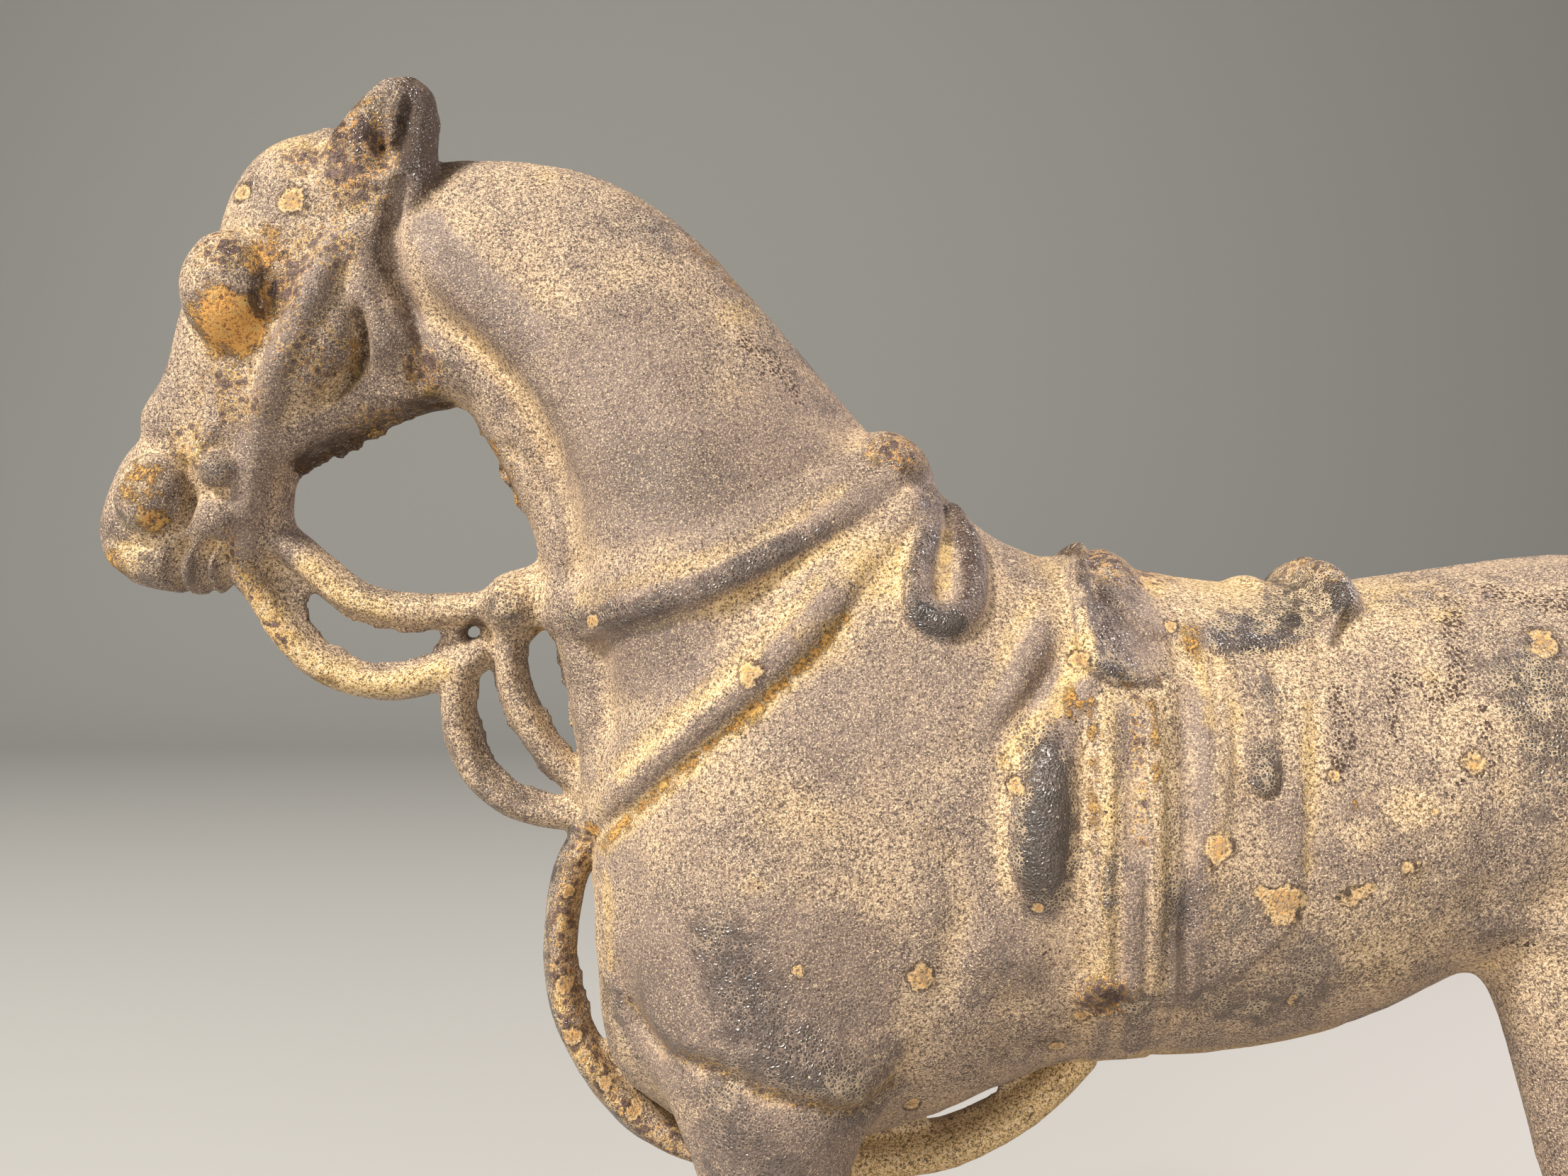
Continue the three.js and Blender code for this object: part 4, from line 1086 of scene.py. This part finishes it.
# blistered paint, as dark scabs with rusty rims
SCAB_STREAKS = [
    (shifted(BREAST_STRAP[:10], 0.6, 0), 3.0, 0.6), (LOWER_REIN[:4], 3.0, 0.5),
    (ELBOW_FOLD[1:8], 2.4, 0.4), ([(16.5, 168), (16, 150)], 1.6, 0.5),
]
SCAB_PATCHES = [
    (-94.5, 248, 7, 11, 0.95), (-104, 229, 5, 8, 0.75), (-112, 233, 7, 5, 0.6),
    (-98, 234, 7, 8, 0.5), (-100, 218, 8, 8, 0.45), (-113, 212, 8, 7, 0.5),
    (-84.5, 216, 3.5, 4, 0.9), (-103, 247, 5, 4, 0.6), (-14, 203.5, 7, 4, 0.8),
    (22, 185.5, 12, 3, 0.6), (16.5, 187.5, 4, 3, 0.9), (50, 186.5, 5, 3, 0.6),
    (-120, 205, 5, 6, 0.5), (12.5, 127.8, 5, 4, 0.9), (-90, 208, 10, 4, 0.5), (-74, 200, 4, 6, 0.5),
]
record_wear("scabs", marked(SCAB_STREAKS, SCAB_PATCHES, 0.7, 0.6))
# umber dirt, and painted shade in the creases under the elbow fold, the jaw and the head strap,
# beside the flap's front rim, in the ear's hollow, on the shadowed back of the ears and in the hole
# by the rein boss
UMBER_DIRT_AND_SHADE_STREAKS = [
    ([(13.6, 189.8), (12.9, 187), (12.2, 183.6)], 1.2, 0.8), ([(13.0, 183), (12.6, 176)], 0.8, 0.5),
    (shifted(ELBOW_FOLD[2:8], 0.4, -0.6), 1.3, 0.65), ([(14.6, 184), (14.2, 175)], 0.8, 0.7),
    ([(-104, 201.4), (-98, 204.4), (-91, 207.8), (-84, 210.6)], 3.6, 1.0),
    ([(-90.6, 240), (-90.6, 232), (-87, 223), (-84, 214)], 1.6, 0.6),
    ([(-94, 224), (-93.6, 218), (-98, 212)], 1.3, 0.7), (WITHERS_LOOP[8:], 2.2, 0.75),
    ([(-107.4, 229.6), (-108.3, 226.4), (-107.9, 223.4)], 1.2, 0.9),
    ([(-5.8, 194), (-7.4, 190)], 1.4, 0.7), (LOWER_REIN[:4], 1.6, 0.4),
    ([(-78, 177.4), (-80, 176)], 2.0, 0.9),
]
# umber patches: dirt on the buckle and the withers knob, and painted shade in the ear's hollow,
# behind the near ear and in the recess under the jaw
UMBER_DIRT_AND_SHADE_PATCHES = [
    (-104.9, 226.2, 2.2, 5.6, 0.95), (-90.8, 250, 2.4, 5.5, 0.9), (-85.2, 251, 5, 11, 1.3),
    (12.3, 128.2, 3.6, 3.6, 1.3), (-12.4, 202.6, 4.4, 3.4, 0.6), (-104.5, 197.5, 3.6, 6, 0.7),
    (-120.8, 198.6, 1.6, 5, 0.5), (-0.6, 118.5, 4, 3, 0.3), (50, 184, 5, 5, 0.4),
    (17, 187.4, 4, 3.4, 0.5), (4, 120, 8, 3, 0.4),
]
record_wear("umber", marked(UMBER_DIRT_AND_SHADE_STREAKS, UMBER_DIRT_AND_SHADE_PATCHES, 0.8, 0.95))
# places where a flake of paint has come off, as [x, z, radius] on each side
NEAR_CHIPS = [
    (-112.1, 242.6, 1.9), (-103.2, 240.3, 2.3), (-58.6, 178.6, 1.1), (-35.5, 171.7, 1.9),
    (-12.4, 130.4, 2.0), (26.8, 148.9, 2.0), (25.5, 146.2, 1.0), (32.6, 142.6, 1.5),
    (35.4, 141.2, 2.7), (44.2, 142.2, 1.6), (46.6, 143.2, 1.2), (52.6, 145.7, 1.4),
    (55.3, 153.0, 0.9), (61.2, 159.8, 1.6), (38.6, 126.8, 1.1), (10.3, 124.2, 1.3),
    (42.6, 158.6, 1.1), (74.5, 175.5, 2.2), (2.6, 140.7, 1.0), (7.4, 118.4, 1.2),
    (-12.6, 108.9, 1.3), (-0.2, 156.8, 1.3), (-64.6, 122.8, 1.5), (-63.3, 114.9, 1.7),
    (-58.3, 107.9, 1.4), (-64.0, 136.9, 1.2), (-54.1, 103.5, 1.3), (9.4, 173.4, 1.3),
    (23.6, 178.0, 1.2), (90, 140, 1.6), (-29, 131.5, 1.0),
]
FAR_CHIPS = [
    (20, 150, 1.8), (-20, 160, 1.6), (60, 150, 2.0), (-40, 200, 1.6), (-100, 236, 1.8),
    (84, 130, 1.6), (5, 128, 1.3),
]
flaked = np.full(len(spots), NO_FLAKE, np.float32)
for chips, on_face in ((NEAR_CHIPS, spots[:, 1] < 0), (FAR_CHIPS, spots[:, 1] > 0)):
    for x, z, radius in chips:
        gap = np.hypot(spot_x - x, spot_z - z) / radius
        flaked = np.where(on_face, np.minimum(flaked, gap), flaked)
record_wear("flaked", flaked)

# Finish of the iron: black-brown paint, brushed on once and now under a crust of mauve-grey and
# sandy dust. Rubbed places show the paint as a net of small bumps, ochre dust lies in the creases,
# and flakes are missing. Painted shade darkens the deepest recesses and some creases, painted
# highlights lighten some raised edges, and faces turned up are paler, partly as painted light.
# Grain sizes are millimetres.
PAINT_BLACK = (0.027, 0.021, 0.019, 1)
PAINT_BROWN = (0.070, 0.050, 0.042, 1)
PAINT_DUSTY = (0.160, 0.108, 0.086, 1)
CRUST_MAUVE = (0.240, 0.176, 0.144, 1)
CRUST_TAN = (0.410, 0.288, 0.192, 1)
SAND_PALE = (0.800, 0.620, 0.410, 1)
SHADE_BROWN = (0.064, 0.045, 0.040, 1)
OCHRE = (0.680, 0.445, 0.150, 1)
RUST_ORANGE = (0.700, 0.345, 0.085, 1)
RUST_RED = (0.240, 0.085, 0.040, 1)
UMBER = (0.060, 0.034, 0.024, 1)
SCAB_PLUM = (0.170, 0.105, 0.095, 1)


def iron_finish(name):
    """The weathered paint and dust as one material, with painted shade and highlights in its
    colour.
    """
    finish = bpy.data.materials.new(name)
    finish.use_nodes = True
    tree = finish.node_tree
    shader = tree.nodes["Principled BSDF"]

    def node(kind, sockets, **settings):
        new = tree.nodes.new(kind)
        for key, value in settings.items():
            setattr(new, key, value)
        for key, value in sockets.items():
            if isinstance(value, bpy.types.NodeSocket):
                tree.links.new(value, new.inputs[key])
            else:
                new.inputs[key].default_value = value
        return new

    def sums(operation, a, b):
        return node("ShaderNodeMath", {0: a, 1: b}, operation=operation).outputs[0]

    def total(*parts):
        whole = parts[0]
        for part in parts[1:]:
            whole = sums("ADD", whole, part)
        return whole

    def times(a, b):
        return sums("MULTIPLY", a, b)

    def between(value, low, high, bottom=0.0, top=1.0):
        ends = {"Value": value, "From Min": low, "From Max": high, "To Min": bottom, "To Max": top}
        return node("ShaderNodeMapRange", ends, interpolation_type="SMOOTHSTEP").outputs[0]

    def stirred(pattern, amount, low=0.35, high=0.65):
        """A pattern's swing to either side of nothing."""
        return between(pattern, low, high, -amount, amount)

    def mixed(part, one, other):
        return node("ShaderNodeMix", {0: part, 6: one, 7: other}, data_type="RGBA").outputs[2]

    def wear(layer):
        return node("ShaderNodeAttribute", {}, attribute_name=layer).outputs["Fac"]

    # Blender's metres as millimetres
    place = node("ShaderNodeTexCoord", {}).outputs["Object"]
    place = node("ShaderNodeVectorMath", {0: place, "Scale": 1000.0}, operation="SCALE").outputs[0]

    def clouds(size_mm, detail=2.0, roughness=0.55):
        sockets = {"Vector": place, "Scale": 1 / size_mm, "Detail": detail, "Roughness": roughness}
        return node("ShaderNodeTexNoise", sockets).outputs["Fac"]

    def cells(size_mm, feature):
        sockets = {"Vector": place, "Scale": 1 / size_mm}
        return node("ShaderNodeTexVoronoi", sockets, feature=feature).outputs["Distance"]

    broad, patchy, mottled = clouds(28, 3), clouds(8, 4), clouds(2.6, 4, 0.65)
    grain, fine_grain = clouds(0.50, 3, 0.72), clouds(0.24, 2, 0.7)
    net, pores, flecks = cells(0.52, "DISTANCE_TO_EDGE"), cells(0.9, "F1"), cells(1.9, "F1")
    blisters, holes = cells(1.5, "F1"), cells(0.62, "F1")
    hollow, recess = wear("hollow"), wear("recess")
    bare, ochre, orange, umber = wear("bare"), wear("ochre"), wear("orange"), wear("umber")
    grey, pits, scabs = wear("grey"), wear("pits"), wear("scabs")
    flaked = total(wear("flaked"), stirred(mottled, 0.32, 0.3, 0.7), stirred(grain, 0.10, 0.3, 0.7))
    up = node("ShaderNodeSeparateXYZ", {0: node("ShaderNodeNewGeometry", {}).outputs["Normal"]})
    up = up.outputs["Z"]

    # crust of dust: mauve-grey to tan, with pale sand grains and brown gaps between them
    tan = total(
        between(broad, 0.35, 0.65, 0.1, 0.6), between(recess, -0.3, 0.5, -0.25, 0.45),
        between(patchy, 0.3, 0.7, -0.2, 0.3), times(grey, -0.7),
    )
    # paler sand where the surface faces up: settled dust, and partly painted light on the tops
    sand_and_top_light = total(
        times(grey, -0.55), between(tan, 0.0, 1.0, 0.30, 0.65), between(up, -0.5, 0.9, -0.15, 0.2),
        between(hollow, -0.1, 0.1, -0.1, 0.15),
    )
    crust = mixed(between(tan, 0.0, 1.0), CRUST_MAUVE, CRUST_TAN)
    # grey beyond 0.7 darkens the crust towards shade brown: dust, and partly painted shade, as
    # below the upper collar
    crust = mixed(between(grey, 0.7, 1.6, 0.0, 0.5), crust, SHADE_BROWN)
    golden = total(
        times(ochre, between(mottled, 0.25, 0.6, 0.45, 1.1)), between(recess, 0.05, 0.8, 0.0, 0.35),
        between(patchy, 0.58, 0.75, 0.0, 0.4), times(grey, -0.35),
    )
    crust = mixed(times(between(golden, 0.0, 1.0), 0.8), crust, OCHRE)
    crust = mixed(times(between(grain, 0.47, 0.66), sand_and_top_light), crust, SAND_PALE)
    coarse = between(grey, 0.0, 0.8, 1.0, 0.7)
    for pattern, low, high, most, tint in (
        (grain, 0.50, 0.37, 0.88, SHADE_BROWN),
        (fine_grain, 0.48, 0.34, 0.9, SHADE_BROWN),
        (fine_grain, 0.54, 0.66, 0.9, SAND_PALE),
    ):
        crust = mixed(times(between(pattern, low, high, 0.0, most), coarse), crust, tint)

    # paint that shows through it as small bumps
    worn = total(
        times(bare, 0.95), between(patchy, 0.64, 0.36, -0.14, 0.36),
        between(recess, 0.3, -0.7, -0.12, 0.14),
    )
    worn = total(worn, between(broad, 0.65, 0.35, -0.08, 0.12), times(ochre, -0.25))
    edge = total(between(worn, 0.0, 0.7, 0.48, 0.08), between(worn, 1.0, 1.5, 0.0, -0.30))
    shown = total(net, stirred(fine_grain, 0.07, 0.3, 0.7), stirred(mottled, 0.10, 0.3, 0.7))
    shown = sums("SUBTRACT", shown, edge)
    shown = between(shown, -0.02, 0.07, 0.0, 0.97)
    paint = mixed(between(mottled, 0.35, 0.65), PAINT_BLACK, PAINT_BROWN)
    paint = mixed(between(grain, 0.55, 0.75, 0.0, 0.35), paint, CRUST_MAUVE)
    paint = mixed(between(total(worn, stirred(grain, 0.2)), 0.30, 0.95), PAINT_DUSTY, paint)
    chalky = times(between(worn, 0.45, 0.9, 0.0, 0.35), between(grey, 0.2, 0.8, 1.0, 0.0))
    crust = mixed(chalky, crust, SAND_PALE)
    colour = mixed(shown, crust, paint)

    # rust, umber dirt and painted shade, umber pits, pale flecks and missing flakes
    rust = mixed(between(grain, 0.34, 0.50), RUST_RED, RUST_ORANGE)
    rust = mixed(between(mottled, 0.48, 0.68, 0.0, 0.7), rust, OCHRE)
    rusty = total(orange, stirred(mottled, 0.35), stirred(grain, 0.25))
    rusty = times(between(rusty, 0.25, 0.75, 0.0, 0.9), between(orange, 0.02, 0.3))
    colour = mixed(rusty, colour, rust)
    # umber marks: dirt, and painted shade in creases and hollows
    umber_dirt_and_shade = total(umber, stirred(grain, 0.4), stirred(mottled, 0.2))
    umber_dirt_and_shade = times(between(umber_dirt_and_shade, 0.3, 0.85, 0.0, 0.88), between(umber, 0.02, 0.3))
    colour = mixed(umber_dirt_and_shade, colour, UMBER)
    # painted shade: the deepest recesses darkened towards umber, with some dirt there too
    deep = total(
        between(recess, 1.1, 2.2), stirred(grain, 0.3, 0.3, 0.7),
        between(mottled, 0.3, 0.7, -0.3, 0.1),
    )
    colour = mixed(between(deep, 0.1, 0.9, 0.0, 0.8), colour, UMBER)
    pitted = total(
        between(pores, 0.30, 0.12), between(patchy, 0.60, 0.72, -1.0, -0.35),
        stirred(mottled, 0.3, 0.4, 0.65),
    )
    rows_of_pits = total(
        between(pits, 0.1, 1.0, -1.1, 0.12), between(holes, 0.50, 0.26, -0.35, 0.40),
        between(mottled, 0.4, 0.55, -0.2, 0.15),
    )
    pitted = sums("MAXIMUM", pitted, rows_of_pits)
    colour = mixed(between(pitted, 0.0, 0.3, 0.0, 0.95), colour, UMBER)
    scab = total(
        scabs, between(blisters, 0.15, 0.6, 0.35, -0.35), stirred(grain, 0.3), stirred(mottled, 0.4)
    )
    scab_rim = times(between(scab, 0.30, 0.45), between(scab, 0.72, 0.58))
    scab_rim = times(scab_rim, between(scabs, 0.1, 0.5))
    scab_rim = times(scab_rim, between(grain, 0.4, 0.6, 0.1, 0.95))
    scab = times(between(scab, 0.55, 0.68, 0.0, 0.92), between(scabs, 0.1, 0.5))
    colour = mixed(scab_rim, colour, mixed(between(mottled, 0.4, 0.6), RUST_ORANGE, OCHRE))
    colour = mixed(scab, colour, mixed(between(grain, 0.4, 0.65), UMBER, SCAB_PLUM))
    flecked = times(between(flecks, 0.12, 0.06), between(mottled, 0.55, 0.65, 0.0, 0.9))
    colour = mixed(flecked, colour, SAND_PALE)
    rim = times(between(flaked, 1.3, 1.02), between(flaked, 0.75, 0.98))
    primer = mixed(between(grain, 0.4, 0.65), OCHRE, RUST_ORANGE)
    primer = mixed(between(flaked, 0.5, 0.8, 0.0, 0.5), primer, SAND_PALE)
    sunken = between(total(flaked, stirred(grain, 0.35)), 0.85, 0.35, 0.0, 0.65)
    primer = mixed(sunken, primer, CRUST_MAUVE)
    primer = mixed(between(grain, 0.46, 0.34, 0.0, 0.85), primer, UMBER)
    colour = mixed(between(flaked, 1.02, 0.9, 0.0, 0.92), colour, primer)
    colour = mixed(times(rim, between(mottled, 0.4, 0.55, 0.3, 0.9)), colour, UMBER)
    tree.links.new(colour, shader.inputs["Base Color"])

    # gloss and grain
    gloss = sums(
        "SUBTRACT", between(shown, 0.0, 0.8, 0.74, 0.27), between(grey, 0.2, 1.0, 0.0, 0.30)
    )
    gloss = sums("MAXIMUM", gloss, 0.26)
    gloss = sums("MAXIMUM", gloss, times(rusty, 0.6))
    gloss = sums("SUBTRACT", gloss, times(scab, 0.28))
    tree.links.new(gloss, shader.inputs["Roughness"])
    bumps = times(between(net, 0.0, 0.45), between(worn, 0.05, 0.6, 0.015, 0.15))
    sandy_bumps = total(times(grain, 0.26), times(fine_grain, 0.13))
    sandy_bumps = times(sandy_bumps, between(shown, 0.0, 1.0, 1.0, 0.35))
    sandy_bumps = times(sandy_bumps, between(grey, 0.0, 1.0, 1.0, 0.65))
    height = total(sandy_bumps, bumps, times(mottled, 0.25))
    height = total(
        height, between(flaked, 0.8, 1.05, 0.0, 0.14), between(pitted, 0.0, 0.3, 0.0, -0.3)
    )
    height = total(height, times(scab, 0.22), times(between(scabs, 0.2, 0.9), times(mottled, 0.45)))
    height = total(height, times(rusty, total(times(grain, 0.45), times(mottled, 0.6))))
    bump = node("ShaderNodeBump", {"Height": height, "Distance": 0.001, "Strength": 1.0})
    tree.links.new(bump.outputs["Normal"], shader.inputs["Normal"])
    shine = between(shown, 0.0, 0.8, 0.30, 0.90)
    tree.links.new(shine, shader.inputs["Specular IOR Level"])
    return finish


horse_finish = iron_finish("horse_iron_wear_and_painted_light")
mesh.materials.clear()
mesh.materials.append(horse_finish)

# Plinth: a low stepped slab under the hooves, cast in the same iron and finished like the horse,
# which stands on it. The photograph doesn't show it, so it is plain: round corners, soft rims and
# a few knocks.
PLINTH_LENGTH, PLINTH_WIDTH, PLINTH_CENTRE_X = 206.0, 80.0, 33.0
PLINTH_CORNER = 9.0
SHARPEST_CORNER = 0.4
# beyond this share of the way out, the slab is knocked and rubbed
PLINTH_EDGE = 0.86
PLINTH_STEP_HEIGHT = 5.2
PLINTH_DUST_HEIGHT = 5.4
WAVE_DEPTH, WAVE_LENGTH = 0.35, 9.0
KNOCK_DEPTH, KNOCK_SIZE, KNOCK_START = 1.5, 5.0, 0.72
TOP_DEPTH, TOP_WAVE = 0.25, 14.0
# [inset from the outline, height] from the underside's middle, round the rims, to the top's middle
PLINTH_PROFILE = [
    (36, 0), (28, 0), (14, 0), (5, 0), (1.0, 0), (0.3, 0.3), (0.05, 1.0), (0.05, 2.4), (0.05, 3.8),
    (0.5, 4.7), (1.3, 5.0), (3.0, 5.05), (3.8, 5.3), (4.05, 6.2), (4.05, 8.4), (4.05, 10.7),
    (4.4, 11.6), (5.2, 11.97), (7, 12), (10, 12), (14, 12), (18, 12), (23, 12), (28, 12), (33, 12),
    (36, 12),
]


def rounded_outline(inset_by, straight=44, turn_steps=8):
    """Points round the plinth's outline, moved in by inset_by."""
    radius = max(PLINTH_CORNER - inset_by, SHARPEST_CORNER)
    reach_x = PLINTH_LENGTH / 2 - inset_by - radius
    reach_y = PLINTH_WIDTH / 2 - inset_by - radius
    out = []
    for quarter, (sx, sy) in enumerate([(1, 1), (-1, 1), (-1, -1), (1, -1)]):
        for step in range(turn_steps + 1):
            angle = math.pi / 2 * (quarter + step / turn_steps)
            turn_x, turn_y = radius * math.cos(angle), radius * math.sin(angle)
            out.append((sx * reach_x + turn_x, sy * reach_y + turn_y))
        after = [(-1, 1), (-1, -1), (1, -1), (1, 1)][quarter]
        end = (after[0] * reach_x + turn_x, after[1] * reach_y + turn_y)
        steps = straight if quarter % 2 == 0 else straight // 2
        begin = out[-1]
        for step in range(1, steps):
            part = step / steps
            x = begin[0] + (end[0] - begin[0]) * part
            out.append((x, begin[1] + (end[1] - begin[1]) * part))
    return out


rings = [rounded_outline(inset_by) for inset_by, _ in PLINTH_PROFILE]
around = len(rings[0])
plinth_points = np.array(
    [(x, y, z) for ring, (_, z) in zip(rings, PLINTH_PROFILE) for x, y in ring]
)
plinth_faces = []
for r in range(len(rings) - 1):
    for s in range(around):
        t = (s + 1) % around
        lower, upper = r * around, (r + 1) * around
        plinth_faces.append((lower + s, lower + t, upper + t, upper + s))
plinth_faces.append(tuple(range(around))[::-1])
plinth_faces.append(tuple(range((len(rings) - 1) * around, len(rings) * around)))
wander = dice.uniform(0, 1, (7, 24, 12))


def uneven(points, wavelength):
    """Smooth random numbers from 0 to 1 at points, which are first moved above nought."""
    place = (points + (150, 60, 5)) / wavelength
    base = np.floor(place).astype(int)
    part = ramp(place - base, 0, 1)
    value = np.zeros(len(points))
    for corner in np.ndindex(2, 2, 2):
        weight = np.prod(np.where(corner, part, 1 - part), axis=1)
        i, j, k = ((base + corner) % np.array(wander.shape)).T
        value += weight * wander[i, j, k]
    return value


inwards = plinth_points[:, :2] / np.array([PLINTH_LENGTH / 2, PLINTH_WIDTH / 2])
rim = (np.abs(inwards) > PLINTH_EDGE).any(axis=1) & (plinth_points[:, 2] > 0.2)
knocks = np.clip(uneven(plinth_points, KNOCK_SIZE) - KNOCK_START, 0, 1)
dent = WAVE_DEPTH * uneven(plinth_points, WAVE_LENGTH) + KNOCK_DEPTH * knocks
plinth_points[:, :2] -= np.sign(plinth_points[:, :2]) * (dent * rim)[:, None]
top = plinth_points[:, 2] > PLINTH_TOP - 0.1
plinth_points[top, 2] -= TOP_DEPTH * uneven(plinth_points, TOP_WAVE)[top]
plinth_points[:, 0] += PLINTH_CENTRE_X
plinth_mesh = bpy.data.meshes.new("plinth_casting")
plinth_mesh.from_pydata((plinth_points * 0.001).tolist(), [], plinth_faces)
plinth_mesh.shade_smooth()
plinth = bpy.data.objects.new("plinth_casting", plinth_mesh)
scene.collection.objects.link(plinth)
flat = np.zeros(len(plinth_points))
record_wear("flaked", flat + NO_FLAKE, plinth_mesh)
record_wear("bare", np.where(rim, 0.25 + 0.5 * uneven(plinth_points, 11.0), 0.1), plinth_mesh)
# dust lies on the step round the slab
dusty = np.abs(plinth_points[:, 2] - PLINTH_DUST_HEIGHT) < 0.8
stepped = np.abs(plinth_points[:, 2] - PLINTH_STEP_HEIGHT) < 0.5
record_wear("ochre", np.where(dusty, 0.7, 0.1), plinth_mesh)
record_wear("recess", np.where(stepped, 0.4, 0.0), plinth_mesh)
for name in ("hollow", "orange", "umber", "grey", "pits", "scabs"):
    record_wear(name, flat, plinth_mesh)
plinth_mesh.materials.append(iron_finish("weathered_plinth_iron"))
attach(plinth, "root")
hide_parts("plinth")
